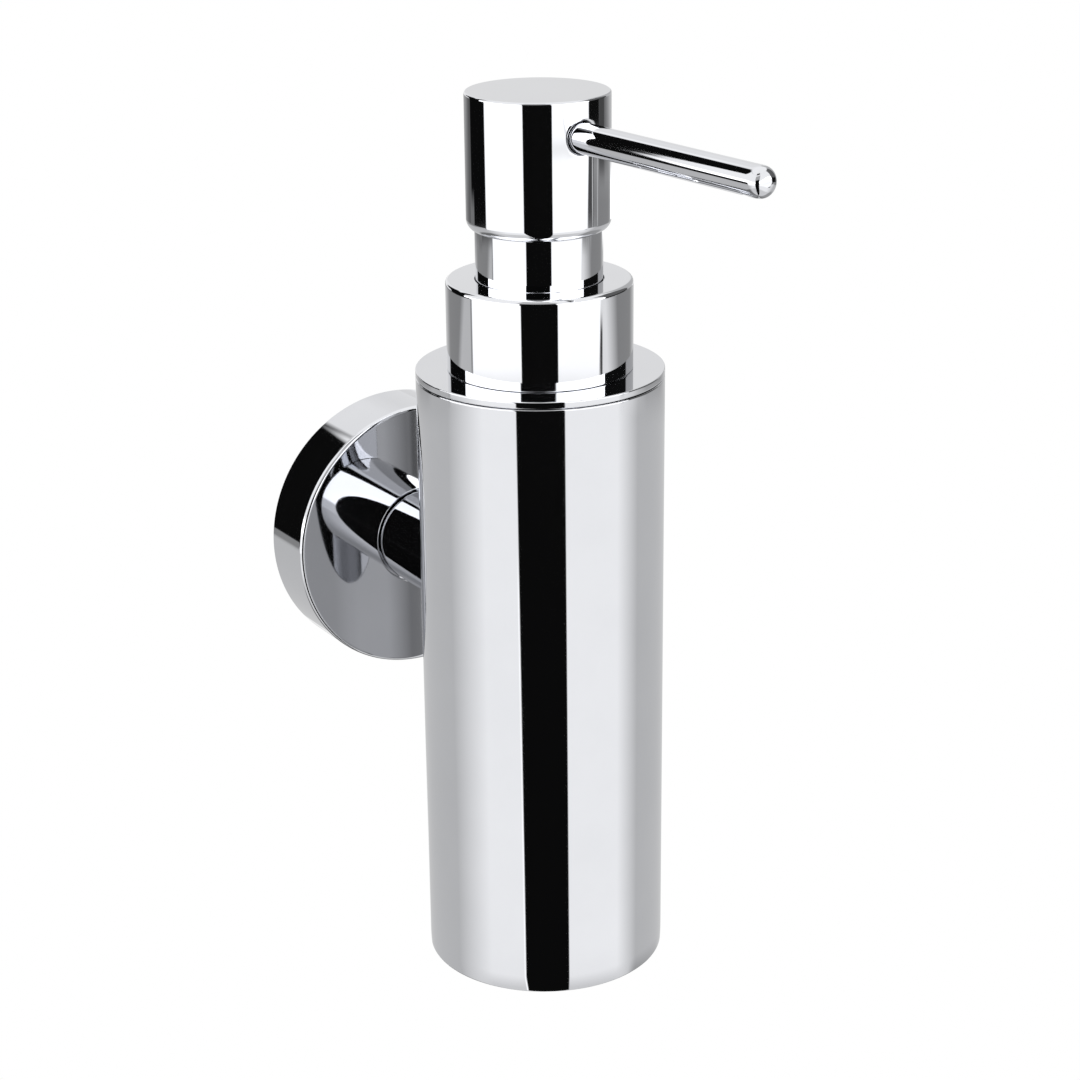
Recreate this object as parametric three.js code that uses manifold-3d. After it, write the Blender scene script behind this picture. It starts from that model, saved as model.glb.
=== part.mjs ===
// Wall-mounted soap dispenser with a lotion pump, chrome-plated.
// Millimetres, +Z up. The origin is the middle of the wall face, on the arm's axis;
// +Y points into the wall, and the bottle hangs in front of it, towards -Y.
import * as THREE from "three";
import { mergeVertices } from "three/addons/utils/BufferGeometryUtils.js";
import Module from "manifold-3d";

const wasm = await Module();
wasm.setup();

// Facets round large and small pieces, and the steps in an eighth of a round
const largeSides = 48;
const mediumSides = 36;
const smallSides = 20;
const tinySides = 12;
const arcSteps = 2;
const hexSides = 6;

// Clearances, and how far a cutter runs past what it cuts
const seatGap = 0.05;
const pressGap = 0.1;
const fitGap = 0.3;
const runningGap = 0.35;
const cutOverrun = 1;

// Bracket: wall to the bottle's axis, and the arm's height over the shell's bottom edge
const bottleStandoff = 64.6;
const armHeight = 77.1;

// Flange that covers the wall plate
const flangeRadius = 30;
const flangeDepth = 13.6;
const flangeRimWall = 2.2;
const flangeFaceWall = 3;
const flangeEdge = 0.4;
const armSocketDepth = 1.2;
const armSocketMargin = 0.5;

// Wall plate: undercut rim and two slots for countersunk screws
const wallPlateThickness = 5;
const wallPlateUndercut = 2;
const wallSlotWidth = 4.6;
const wallSlotLength = 9;
const wallSlotOffset = 15;
const countersinkFlare = 2.1;

// Grub screw under the rim, which draws the flange to the wall
const grubRadius = 2;
const grubTipRadius = 0.5;
const grubTipLength = 1.5;
const grubFromWall = 3.5;
const grubInset = 0.4;
const grubSocketWidth = 2;
const grubSocketDepth = 1.6;

// Arm and the screw and washer that hold it to the flange
const armRadius = 10.5;
const armEdge = 0.4;
const armScrewRadius = 3;
const armScrewHeadRadius = 5.25;
const armScrewHeadHeight = 3.3;
const armScrewSocketWidth = 4;
const armScrewSocketDepth = 2;
const armWasherRadius = 6;
const armWasherThickness = 1.2;

// The two screws in the arm: what is left between their tips, and the arm screw's share of the rest
const screwTipSpacing = 5.7;
const screwTipMargin = 1.2;
const armScrewShare = 0.556;

// Shell that the bottle stands in, and its pressed-in base
const shellRadius = 25;
const shellHeight = 127.1;
const shellWall = 1;
const shellEdge = 0.25;
const baseThickness = 1.5;
const baseInset = 0.4;
const drainRadius = 3;

// Screw and saddle washer that hold the shell to the arm
const shellScrewRadius = 2.5;
const shellScrewHeadRadius = 4.6;
const shellScrewHeadHeight = 1.6;
const shellScrewSocketWidth = 3;
const shellScrewSocketDepth = 1.1;
const saddleWidth = 11;
const saddleThickness = 1.4;

// Lid plate
const lidSeam = 0.2;
const lidThickness = 1.35;
const lidEdge = 0.2;
const lidSkirtDepth = 2.2;
const lidSkirtWall = 1;

// Inner bottle, with a channel that passes the screw's head
const bottleGap = 0.4;
const bottleWall = 1;
const bottleFloor = 1.2;
const bottleFootEdge = 2.5;
const bottleShoulderEdge = 1.8;
const bottleNeckRadius = 12.5;
const bottleNeckWall = 1.7;

// Screw thread between the bottle's neck and the closure
const threadPitch = 4.2;
const threadDepth = 1.2;
const threadRootWidth = 1.9;
const threadCrestWidth = 0.9;
const neckThreadTurns = 1.5;
const neckThreadDrop = 2.2;
const closureThreadTurns = 1.25;
const closureThreadLag = 0.25;
const threadStepsPerTurn = 18;

// Collar, its threaded insert and the guide sleeve that shows as the neck
const collarRadius = 18.64;
const collarHeight = 18.2;
const collarWall = 1.1;
const collarTopWall = 1.2;
const collarEdge = 0.4;
const closureInset = 0.5;
const closureSkirtWall = 1.6;
const closureWebThickness = 1.6;
const closureRibs = 14;
const closureRibWidth = 1.4;
const sleeveRadius = 12.65;
const sleeveWall = 1.2;
const sleeveFlangeMargin = 3.6;
const sleeveFlangeThickness = 1.6;
const sleeveLap = 3;
const neckShow = 9.9;

// Pump housing, its cap, gasket and dip tube
const gasketThickness = 1;
const housingFlangeInset = 0.2;
const housingFlangeThickness = 1.4;
const barrelRadius = 7;
const barrelWall = 0.9;
const barrelLength = 42;
const cageWall = 1.3;
const cageLength = 7;
const cageLip = 0.7;
const seatBoreRadius = 1.5;
const tubeSocketWall = 1.2;
const tubeSocketLength = 8;
const pumpCapReach = 10;
const pumpCapStand = 3.4;
const pumpCapRadius = 7.8;
const pumpCapWall = 2.2;
const dipTubeRadius = 2.5;
const dipTubeWall = 0.75;
const dipTubeClearance = 2.2;
const dipTubeSlant = 35;

// Valve balls
const inletBallRadius = 2.2;
const outletBallRadius = 1.9;
const ballCageGap = 0.5;

// Plunger: stem, piston, rod and return spring
const stemRadius = 3.4;
const stemWall = 1.5;
const stemShoulderRadius = 5;
const stemShoulderHeight = 1.2;
const stemSeatBoreRadius = 1.2;
const stemCageDepth = 4.5;
const pistonHeight = 7.4;
const pistonLipHeight = 1.6;
const pistonWaist = 1;
const rodCollarRadius = 4.9;
const rodCollarHeight = 1.4;
const rodSpigotLength = 5;
const rodTailRadius = 1.6;
const rodTailLength = 8;
const springWireRadius = 0.36;
const springTurns = 8;
const springClosedTurns = 1;
const springStepsPerTurn = 8;
const springWireSides = 6;

// Head, its insert and the spout
const headRadius = 14.28;
const headHeight = 27.1;
const headWall = 1.25;
const headTopWall = 2;
const headTopEdge = 0.4;
const headBottomEdge = 2.2;
const insertDepth = 6.6;
const insertSocketRadius = 5.6;
const insertSocketReach = 6.5;
const insertPockets = 5;
const insertPocketInner = 7.2;
const insertPocketOuter = 11.4;
const insertPocketDepth = 3;
const insertPocketFill = 0.55;
const stemEntry = 3.2;
const channelRadius = 1.6;
const ceilingBoreRadius = 1.3;
const spoutDrop = 7.2;
const spoutRadius = 3;
const spoutWall = 0.8;
const spoutReach = 66.9;
const spoutRoot = 8;
const spoutHoleMargin = 0.45;
const spoutHoleFlare = 0.6;
const outletRadius = 1.6;
const outletFromTip = 4.8;
const sealCord = 0.65;
const swivelAtRest = 4.7;

// Heights up the bottle's axis
const shellBottom = -armHeight;
const shellTop = shellBottom + shellHeight;
const baseBottom = shellBottom + baseInset;
const baseTop = baseBottom + baseThickness;
const lidBottom = shellTop + lidSeam;
const lidTop = lidBottom + lidThickness;
const collarBottom = lidTop + seatGap;
const collarTop = collarBottom + collarHeight;
const sleeveFlangeTop = collarTop - collarTopWall - seatGap;
const closureTop = sleeveFlangeTop - sleeveFlangeThickness - seatGap;
const closureCeiling = closureTop - closureWebThickness;
const housingTop = closureCeiling - seatGap;
const gasketTop = housingTop - housingFlangeThickness - seatGap;
const neckTop = gasketTop - gasketThickness - seatGap;
const shoulderTop = lidBottom - seatGap;
const bottleBottom = baseTop + seatGap;
const headBottom = collarTop + neckShow;
const headTop = headBottom + headHeight;
const spoutHeight = headTop - spoutDrop;
const sleeveTop = headBottom + sleeveLap;
const barrelFloor = housingTop - barrelLength;
const cageFloor = barrelFloor - cageLength;
const tubeStop = cageFloor - cageWall;
const housingBottom = tubeStop - tubeSocketLength;
const shoulderStop = housingTop - pumpCapReach - seatGap;
const pistonTop = shoulderStop - stemShoulderHeight - seatGap;
const rodCollarTop = pistonTop - pistonHeight - seatGap;
const springTop = rodCollarTop - rodCollarHeight - seatGap;
const springBottom = barrelFloor + seatGap;
const stemTop = spoutHeight - stemEntry;
const insertTop = headTop - headTopWall - seatGap;

// Radii that follow from what a piece fits
const shellBore = shellRadius - shellWall;
const bottleRadius = shellBore - bottleGap;
const lidSkirtRadius = shellBore - fitGap;
const threadCrestRadius = bottleNeckRadius + threadDepth;
const closureBore = threadCrestRadius + runningGap;
const closureRadius = closureBore + closureSkirtWall;
const collarBore = collarRadius - collarWall;
const barrelBore = barrelRadius - barrelWall;
const pistonRadius = barrelBore - pressGap;
const cageBore = inletBallRadius + ballCageGap;
const tubeSocketBore = dipTubeRadius + pressGap;
const stemBore = stemRadius - stemWall;
const stemCageBore = outletBallRadius + ballCageGap;
const sleeveBore = sleeveRadius - sleeveWall;
const headBore = headRadius - headWall;
const spoutHoleRadius = spoutRadius + spoutHoleMargin;
const flangeBore = flangeRadius - flangeRimWall;
const saddleFlat = shellBore - saddleThickness;
const screwSeat = saddleFlat - seatGap;
const screwFace = screwSeat - shellScrewHeadHeight;

// Screws that go into the arm from both ends, by their places along it
const armScrewSeat = flangeDepth - flangeFaceWall - seatGap * 2 - armWasherThickness;
const shellScrewSeat = bottleStandoff - screwSeat;
const screwsTogether = shellScrewSeat - armScrewSeat - screwTipSpacing;
const armScrewReach = screwsTogether * armScrewShare;
const shellScrewReach = screwsTogether - armScrewReach;

// The spout's seal, seated on the head's bore
const sealRadius = spoutRadius + pressGap + sealCord * 2;
const sealFace = Math.sqrt(headBore ** 2 - sealRadius ** 2) - fitGap;

// Finishes
const finishes = {
  chrome: { color: 0xd9dade, metalness: 1, roughness: 0.04 },
  zinc: { color: 0x9b9fa3, metalness: 0.9, roughness: 0.45 },
  steel: { color: 0xb4b6b8, metalness: 1, roughness: 0.28 },
  bottlePlastic: { color: 0xe9ebe9, metalness: 0, roughness: 0.42 },
  pumpPlastic: { color: 0xf4f4f1, metalness: 0, roughness: 0.3 },
  rubber: { color: 0x2a2b2d, metalness: 0, roughness: 0.8 },
};

// A closed solid from a geometry's positions alone, turned right side out
function solid(geometry) {
  const bare = geometry.clone();
  bare.deleteAttribute("normal");
  bare.deleteAttribute("uv");
  const merged = mergeVertices(bare);
  const corners = merged.index.array;
  const vertProperties = new Float32Array(merged.attributes.position.array);
  const faces = [];
  for (let i = 0; i < corners.length; i += 3) {
    const [a, b, c] = corners.slice(i, i + 3);
    if (a !== b && b !== c && c !== a) faces.push([a, b, c]);
  }
  const built = (order) => new wasm.Manifold(new wasm.Mesh({
    numProp: 3,
    vertProperties,
    triVerts: new Uint32Array(faces.flatMap(order)),
  }));
  const body = built((face) => face);
  return body.volume() > 0 ? body : built(([a, b, c]) => [a, c, b]);
}

// The geometry of a finished solid
function surface(body) {
  const mesh = body.getMesh();
  const geometry = new THREE.BufferGeometry();
  geometry.setAttribute("position", new THREE.BufferAttribute(new Float32Array(mesh.vertProperties), 3));
  geometry.setIndex(new THREE.BufferAttribute(new Uint32Array(mesh.triVerts), 1));
  geometry.computeVertexNormals();
  return geometry;
}

// One named mesh in its group
function place(group, name, finish, body) {
  const mesh = new THREE.Mesh(surface(body), new THREE.MeshStandardMaterial(finish));
  mesh.name = name;
  group.add(mesh);
}

// An outline in radius and height, from corner points
function outline(...corners) {
  const path = new THREE.Path();
  path.setFromPoints(corners.map(([radius, height]) => new THREE.Vector2(radius, height)));
  return path;
}

// Turns an outline round Z: one that leaves the axis is closed along it, a ring on itself
function revolved(path, sides, steps = arcSteps) {
  const points = path.getPoints(steps);
  const onAxis = points[0].x === 0;
  if (!onAxis) points.push(points[0].clone());
  if (THREE.ShapeUtils.isClockWise(points)) points.reverse();
  return new THREE.LatheGeometry(points, sides).rotateX(Math.PI / 2);
}

// A round bar along Z, or a ring where it has a bore
function bar(radius, low, high, sides, bore = 0) {
  return revolved(outline([bore, low], [radius, low], [radius, high], [bore, high]), sides);
}

// A cone frustum along Z
function cone(lowRadius, highRadius, low, high, sides) {
  return revolved(outline([0, low], [lowRadius, low], [highRadius, high], [0, high]), sides);
}

// A hexagonal bar along Z, measured across its flats
function hexBar(width, low, high) {
  return bar(width / 2 / Math.cos(Math.PI / hexSides), low, high, hexSides);
}

// A box between two heights, centred on X and Y unless moved
function block(width, depth, low, high) {
  return new THREE.BoxGeometry(width, depth, high - low).translate(0, 0, (low + high) / 2);
}

// A slot with round ends as an extrusion, its flare opening upwards to the height given
function slotCutter(width, length, flare, top) {
  const end = (length - width) / 2;
  const shape = new THREE.Shape();
  shape.absarc(end, 0, width / 2, -Math.PI / 2, Math.PI / 2);
  shape.absarc(-end, 0, width / 2, Math.PI / 2, Math.PI * 1.5);
  shape.closePath();
  const bevel = { bevelThickness: flare, bevelSize: flare, bevelSegments: 1 };
  const sunk = new THREE.ExtrudeGeometry(shape, { depth: cutOverrun, curveSegments: arcSteps * 2, ...bevel });
  const through = new THREE.ExtrudeGeometry(shape, {
    depth: top + cutOverrun * 2, curveSegments: arcSteps * 2, bevelEnabled: false,
  });
  return solid(sunk.translate(0, 0, top)).add(solid(through.translate(0, 0, -cutOverrun)));
}

// A screw thread: a straight bar of the thread's section, wound round Z.
// The section runs from root to crest; it starts at an angle and height and climbs by the pitch.
function windThread(rootRadius, crestRadius, turns, startTurn, startHeight) {
  const section = new THREE.Shape([
    new THREE.Vector2(rootRadius, -threadRootWidth / 2),
    new THREE.Vector2(crestRadius, -threadCrestWidth / 2),
    new THREE.Vector2(crestRadius, threadCrestWidth / 2),
    new THREE.Vector2(rootRadius, threadRootWidth / 2),
  ]);
  const steps = Math.round(turns * threadStepsPerTurn);
  const geometry = new THREE.ExtrudeGeometry(section, { depth: turns, steps, bevelEnabled: false });
  const places = geometry.attributes.position;
  for (let i = 0; i < places.count; i += 1) {
    const radius = places.getX(i);
    const turn = startTurn + places.getZ(i);
    const angle = turn * 2 * Math.PI;
    const height = places.getY(i) + startHeight + places.getZ(i) * threadPitch;
    places.setXYZ(i, radius * Math.cos(angle), radius * Math.sin(angle), height);
  }
  return solid(geometry);
}

// A compression spring's centre line, with its end coils closed
class SpringLine extends THREE.Curve {
  getPoint(share, target = new THREE.Vector3()) {
    const turn = share * springTurns;
    const wire = springWireRadius * 2 + seatGap;
    const closed = springClosedTurns * wire;
    const low = springBottom + springWireRadius;
    const high = springTop - springWireRadius;
    const openTurns = springTurns - springClosedTurns * 2;
    const openPitch = (high - low - closed * 2) / openTurns;
    const opened = Math.min(Math.max(turn - springClosedTurns, 0), openTurns);
    const height = low + (turn - opened) * wire + opened * openPitch;
    const radius = barrelBore - runningGap * 2 - springWireRadius;
    const angle = turn * 2 * Math.PI;
    return target.set(radius * Math.cos(angle), radius * Math.sin(angle), height);
  }
}

// Wall plate: a disc with an undercut rim and two countersunk slots
function wallPlate() {
  const rim = flangeBore - fitGap;
  const disc = outline(
    [0, 0],
    [rim - wallPlateUndercut, 0],
    [rim, wallPlateThickness],
    [0, wallPlateThickness],
  );
  let body = solid(revolved(disc, mediumSides));
  for (const side of [-1, 1]) {
    const slot = slotCutter(wallSlotWidth, wallSlotLength, countersinkFlare, wallPlateThickness);
    const turned = side > 0 ? slot : slot.rotate([0, 0, 90]);
    body = body.subtract(turned.translate([0, side * wallSlotOffset, 0]));
  }
  return body;
}

// Flange: a hollow-backed disc with a socket for the arm and a hole for the grub screw
function flange() {
  const shape = outline(
    [flangeBore, 0],
    [flangeRadius, 0],
    [flangeRadius, flangeDepth - flangeEdge],
    [flangeRadius - flangeEdge, flangeDepth],
    [armRadius + armSocketMargin + flangeEdge, flangeDepth],
    [armRadius + armSocketMargin, flangeDepth - flangeEdge],
    [armRadius + armSocketMargin, flangeDepth - armSocketDepth],
    [armScrewRadius + fitGap, flangeDepth - armSocketDepth],
    [armScrewRadius + fitGap, flangeDepth - flangeFaceWall],
    [flangeBore, flangeDepth - flangeFaceWall],
  );
  const grubHole = bar(grubRadius + pressGap, flangeBore - cutOverrun, flangeRadius + cutOverrun, tinySides);
  return solid(revolved(shape, largeSides))
    .subtract(solid(grubHole.rotateX(Math.PI / 2).translate(0, 0, grubFromWall)));
}

// Cone-point grub screw with a hexagon socket, pointing up from under the rim
function grubScrew() {
  const rimAtTip = flangeBore - fitGap - wallPlateUndercut * (1 - grubFromWall / wallPlateThickness);
  const tip = rimAtTip + fitGap;
  const end = flangeRadius - grubInset;
  const point = cone(grubTipRadius, grubRadius, tip, tip + grubTipLength, tinySides);
  const thread = bar(grubRadius, tip + grubTipLength, end, tinySides);
  const socket = hexBar(grubSocketWidth, end - grubSocketDepth, end + cutOverrun);
  const body = solid(point).add(solid(thread)).subtract(solid(socket));
  return body.rotate([90, 0, 0]).translate([0, 0, grubFromWall]);
}

// Arm: a turned bar, hollowed at its far end to the shell's roundness, with a blind hole at each end
function arm() {
  const low = flangeDepth - armSocketDepth + seatGap;
  const stock = outline(
    [0, low],
    [armRadius - armEdge, low],
    [armRadius, low + armEdge],
    [armRadius, bottleStandoff],
    [0, bottleStandoff],
  );
  const saddle = bar(shellRadius + fitGap, -armRadius - cutOverrun, armRadius + cutOverrun, largeSides);
  const flangeBlind = armScrewSeat + armScrewReach + screwTipMargin;
  const shellBlind = shellScrewSeat - shellScrewReach - screwTipMargin;
  const flangeEnd = bar(armScrewRadius + pressGap, low - cutOverrun, flangeBlind, smallSides);
  const shellEnd = bar(shellScrewRadius + pressGap, shellBlind, bottleStandoff, smallSides);
  return solid(revolved(stock, largeSides))
    .subtract(solid(saddle.rotateX(Math.PI / 2).translate(0, 0, bottleStandoff)))
    .subtract(solid(flangeEnd))
    .subtract(solid(shellEnd));
}

// Washer under the arm screw's head
function armWasher() {
  const top = flangeDepth - flangeFaceWall - seatGap;
  return solid(bar(armWasherRadius, top - armWasherThickness, top, smallSides, armScrewRadius + fitGap));
}

// A button-head socket screw along Z: a round-topped head below its seat and a shank above it
function buttonScrew(radius, headRadius, headHeight, seat, reach, socketWidth, socketDepth, sides) {
  const crown = headHeight / 2;
  const head = new THREE.Path();
  head.moveTo(0, seat - headHeight);
  head.lineTo(headRadius - crown, seat - headHeight);
  head.quadraticCurveTo(headRadius, seat - headHeight, headRadius, seat - headHeight + crown);
  head.lineTo(headRadius, seat);
  head.lineTo(radius, seat);
  head.lineTo(radius, seat + reach - radius / 2);
  head.lineTo(radius / 2, seat + reach);
  head.lineTo(0, seat + reach);
  const socket = hexBar(socketWidth, seat - headHeight - cutOverrun, seat - headHeight + socketDepth);
  return solid(revolved(head, sides)).subtract(solid(socket));
}

// Screw through the flange into the arm
function armScrew() {
  return buttonScrew(
    armScrewRadius, armScrewHeadRadius, armScrewHeadHeight,
    armScrewSeat, armScrewReach, armScrewSocketWidth, armScrewSocketDepth, smallSides,
  );
}

// Screw through the shell into the arm, its low head inside the shell
function shellScrew() {
  const body = buttonScrew(
    shellScrewRadius, shellScrewHeadRadius, shellScrewHeadHeight,
    0, shellScrewReach,
    shellScrewSocketWidth, shellScrewSocketDepth, smallSides,
  );
  return body.rotate([180, 0, 0]).translate([0, 0, shellScrewSeat]);
}

// Washer with one flat face for the screw's head and one curved to the shell's bore
function saddleWasher() {
  const stock = block(saddleWidth, saddleWidth, bottleStandoff - shellBore, bottleStandoff - saddleFlat);
  const bore = bar(shellBore - pressGap, -saddleWidth, saddleWidth, largeSides);
  const hole = bar(shellScrewRadius + fitGap, 0, bottleStandoff, smallSides);
  return solid(stock)
    .intersect(solid(bore.rotateX(Math.PI / 2).translate(0, 0, bottleStandoff)))
    .subtract(solid(hole));
}

// Shell: a tube with crisp edges and the hole for its screw
function shell() {
  const tube = outline(
    [shellBore, shellBottom],
    [shellRadius - shellEdge, shellBottom],
    [shellRadius, shellBottom + shellEdge],
    [shellRadius, shellTop - shellEdge],
    [shellRadius - shellEdge, shellTop],
    [shellBore, shellTop],
  );
  const hole = bar(shellScrewRadius + fitGap, 0, shellRadius + cutOverrun, smallSides).rotateX(-Math.PI / 2);
  return solid(revolved(tube, largeSides)).subtract(solid(hole));
}

// Base disc with a drain hole
function shellBase() {
  return solid(bar(shellBore - pressGap, baseBottom, baseTop, largeSides, drainRadius));
}

// Lid plate with a skirt that centres it in the shell
function lidPlate() {
  const bore = threadCrestRadius + fitGap;
  return solid(revolved(outline(
    [bore, lidBottom],
    [lidSkirtRadius - lidSkirtWall, lidBottom],
    [lidSkirtRadius - lidSkirtWall, lidBottom - lidSkirtDepth],
    [lidSkirtRadius, lidBottom - lidSkirtDepth],
    [lidSkirtRadius, lidBottom],
    [shellRadius, lidBottom],
    [shellRadius, lidTop - lidEdge],
    [shellRadius - lidEdge, lidTop],
    [bore, lidTop],
  ), largeSides));
}

// Space inside or outside the bottle: a body up to its shoulder, then the neck
function bottleForm(inset, low, neckRadius, high) {
  const radius = bottleRadius - inset;
  const shoulderRadius = lidSkirtRadius - lidSkirtWall - fitGap - inset;
  const shoulder = shoulderTop - inset;
  const step = lidBottom - lidSkirtDepth - fitGap - inset;
  const foot = bottleFootEdge - inset;
  const path = new THREE.Path();
  path.moveTo(0, low);
  path.lineTo(radius - foot, low);
  path.absarc(radius - foot, low + foot, foot, -Math.PI / 2, 0);
  path.lineTo(radius, step - (radius - shoulderRadius));
  path.lineTo(shoulderRadius, step);
  const edge = bottleShoulderEdge;
  path.absarc(shoulderRadius - edge, shoulder - edge, edge, 0, Math.PI / 2);
  path.lineTo(neckRadius, shoulder);
  path.lineTo(neckRadius, high);
  path.lineTo(0, high);
  return solid(revolved(path, mediumSides, 1));
}

// The channel up the bottle's back, as far as the screw's head needs
function channelForm(grown) {
  const halfWidth = saddleWidth / 2 + bottleGap + grown;
  const face = screwFace - bottleGap - grown;
  const depth = shellRadius - face;
  const top = saddleWidth / 2 + bottleGap + grown;
  const low = bottleBottom - cutOverrun * 2;
  return solid(block(halfWidth * 2, depth, low, top).translate(0, face + depth / 2, 0));
}

// Inner bottle: thin-walled, open at its threaded neck
function innerBottle() {
  const bore = bottleNeckRadius - bottleNeckWall;
  const floor = bottleBottom + bottleFloor;
  const outer = bottleForm(0, bottleBottom, bottleNeckRadius, neckTop).subtract(channelForm(0));
  const inner = bottleForm(bottleWall, floor, bore, neckTop + cutOverrun).subtract(channelForm(bottleWall));
  const threadStart = neckTop - neckThreadDrop - neckThreadTurns * threadPitch;
  const thread = windThread(bottleNeckRadius - pressGap, threadCrestRadius, neckThreadTurns, 0, threadStart);
  return outer.add(thread).subtract(inner);
}

// Closure: a ribbed cap whose inner thread hangs under the neck's thread
function closure() {
  const low = collarBottom + closureInset;
  const skirt = outline(
    [closureBore, low],
    [closureRadius, low],
    [closureRadius, closureTop],
    [pumpCapRadius + fitGap, closureTop],
    [pumpCapRadius + fitGap, closureCeiling],
    [closureBore, closureCeiling],
  );
  let body = solid(revolved(skirt, mediumSides));
  const ribDepth = collarBore - fitGap - closureRadius;
  for (let i = 0; i < closureRibs; i += 1) {
    const rib = block(ribDepth + closureSkirtWall / 2, closureRibWidth, low, closureTop)
      .translate(closureRadius + (ribDepth - closureSkirtWall / 2) / 2, 0, 0)
      .rotateZ((i / closureRibs) * Math.PI * 2);
    body = body.add(solid(rib));
  }
  const lag = (threadRootWidth + threadCrestWidth) / 2 + fitGap;
  const neckThreadStart = neckTop - neckThreadDrop - neckThreadTurns * threadPitch;
  const start = neckThreadStart - lag + closureThreadLag * threadPitch;
  const crest = bottleNeckRadius + runningGap;
  const thread = windThread(closureBore + pressGap, crest, closureThreadTurns, closureThreadLag, start);
  return body.add(thread);
}

// Collar: the chromed cover of the closure
function collar() {
  const hole = sleeveRadius + runningGap;
  return solid(revolved(outline(
    [collarBore, collarBottom],
    [collarRadius - collarEdge / 2, collarBottom],
    [collarRadius, collarBottom + collarEdge / 2],
    [collarRadius, collarTop - collarEdge],
    [collarRadius - collarEdge, collarTop],
    [hole + collarEdge, collarTop],
    [hole, collarTop - collarEdge],
    [hole, collarTop - collarTopWall],
    [collarBore, collarTop - collarTopWall],
  ), mediumSides));
}

// Guide sleeve: the tube that shows as the neck, flanged to be held under the collar
function guideSleeve() {
  const flangeOuter = sleeveRadius + sleeveFlangeMargin;
  const flangeBottom = sleeveFlangeTop - sleeveFlangeThickness;
  return solid(revolved(outline(
    [sleeveBore, flangeBottom],
    [flangeOuter, flangeBottom],
    [flangeOuter, sleeveFlangeTop],
    [sleeveRadius, sleeveFlangeTop],
    [sleeveRadius, sleeveTop - collarEdge],
    [sleeveRadius - collarEdge, sleeveTop],
    [sleeveBore, sleeveTop],
  ), mediumSides));
}

// Gasket between the housing's flange and the neck's rim
function neckGasket() {
  const radius = bottleNeckRadius - housingFlangeInset;
  return solid(bar(radius, gasketTop - gasketThickness, gasketTop, smallSides, barrelRadius + fitGap));
}

// Pump housing: a flanged barrel, the inlet ball's cage and a socket for the dip tube
function pumpHousing() {
  const flangeOuter = bottleNeckRadius - housingFlangeInset;
  return solid(revolved(outline(
    [barrelBore, housingTop],
    [barrelBore, barrelFloor],
    [cageBore - cageLip, barrelFloor],
    [cageBore - cageLip, barrelFloor - cageLip],
    [cageBore, barrelFloor - cageLip * 2],
    [cageBore, cageFloor + inletBallRadius - seatBoreRadius],
    [seatBoreRadius, cageFloor],
    [seatBoreRadius, tubeStop],
    [tubeSocketBore, tubeStop],
    [tubeSocketBore, housingBottom],
    [tubeSocketBore + tubeSocketWall, housingBottom],
    [tubeSocketBore + tubeSocketWall, tubeStop],
    [cageBore + cageWall, tubeStop + cageWall],
    [cageBore + cageWall, barrelFloor - barrelWall * 2],
    [barrelRadius, barrelFloor],
    [barrelRadius, gasketTop + seatGap],
    [flangeOuter, gasketTop + seatGap],
    [flangeOuter, housingTop],
  ), smallSides));
}

// Pump cap: snapped into the barrel, it guides the stem and stops its shoulder
function pumpCap() {
  const guide = stemRadius + runningGap;
  const plug = barrelBore - pressGap;
  const low = housingTop - pumpCapReach;
  const ledge = housingTop + seatGap;
  return solid(revolved(outline(
    [guide, low],
    [plug - pressGap, low],
    [plug, low + pumpCapWall],
    [plug, ledge],
    [pumpCapRadius, ledge],
    [pumpCapRadius, ledge + pumpCapStand - pumpCapWall / 2],
    [pumpCapRadius - pumpCapWall / 2, ledge + pumpCapStand],
    [guide, ledge + pumpCapStand],
  ), smallSides));
}

// Dip tube, cut slanting at its foot
function dipTube() {
  const low = bottleBottom + bottleFloor + dipTubeClearance;
  const tube = bar(dipTubeRadius, low, tubeStop - pressGap, tinySides, dipTubeRadius - dipTubeWall);
  const knife = block(dipTubeRadius * 8, dipTubeRadius * 8, -dipTubeRadius * 4, 0);
  const slant = THREE.MathUtils.degToRad(dipTubeSlant);
  const slanted = knife.rotateY(slant).translate(0, 0, low + dipTubeRadius / 2);
  return solid(tube).subtract(solid(slanted));
}

// A valve ball resting on the rim of a bore
function ball(radius, boreRadius, boreHeight) {
  const rise = Math.sqrt(radius ** 2 - boreRadius ** 2) + seatGap;
  return solid(new THREE.SphereGeometry(radius, tinySides, tinySides / 2).translate(0, 0, boreHeight + rise));
}

// Stem: a tube with a shoulder that meets the cap, and the outlet ball's cage at its top
function stem() {
  const cageBottom = stemTop - stemCageDepth;
  const shoulderBottom = shoulderStop - stemShoulderHeight;
  return solid(revolved(outline(
    [stemBore, rodCollarTop + seatGap],
    [stemRadius, rodCollarTop + seatGap],
    [stemRadius, shoulderBottom],
    [stemShoulderRadius, shoulderBottom],
    [stemShoulderRadius, shoulderStop],
    [stemRadius, shoulderStop],
    [stemRadius, stemTop],
    [stemCageBore, stemTop],
    [stemCageBore, cageBottom],
    [stemSeatBoreRadius, cageBottom],
    [stemSeatBoreRadius, cageBottom - stemWall],
    [stemBore, cageBottom - stemWall * 1.5],
  ), smallSides));
}

// Piston: a waisted sleeve with a sealing lip at each end
function piston() {
  const low = pistonTop - pistonHeight;
  const bore = stemRadius + pressGap;
  return solid(revolved(outline(
    [bore, low],
    [pistonRadius, low],
    [pistonRadius, low + pistonLipHeight],
    [pistonRadius - pistonWaist, low + pistonLipHeight * 1.5],
    [pistonRadius - pistonWaist, pistonTop - pistonLipHeight * 1.5],
    [pistonRadius, pistonTop - pistonLipHeight],
    [pistonRadius, pistonTop],
    [bore, pistonTop],
  ), smallSides));
}

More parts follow.
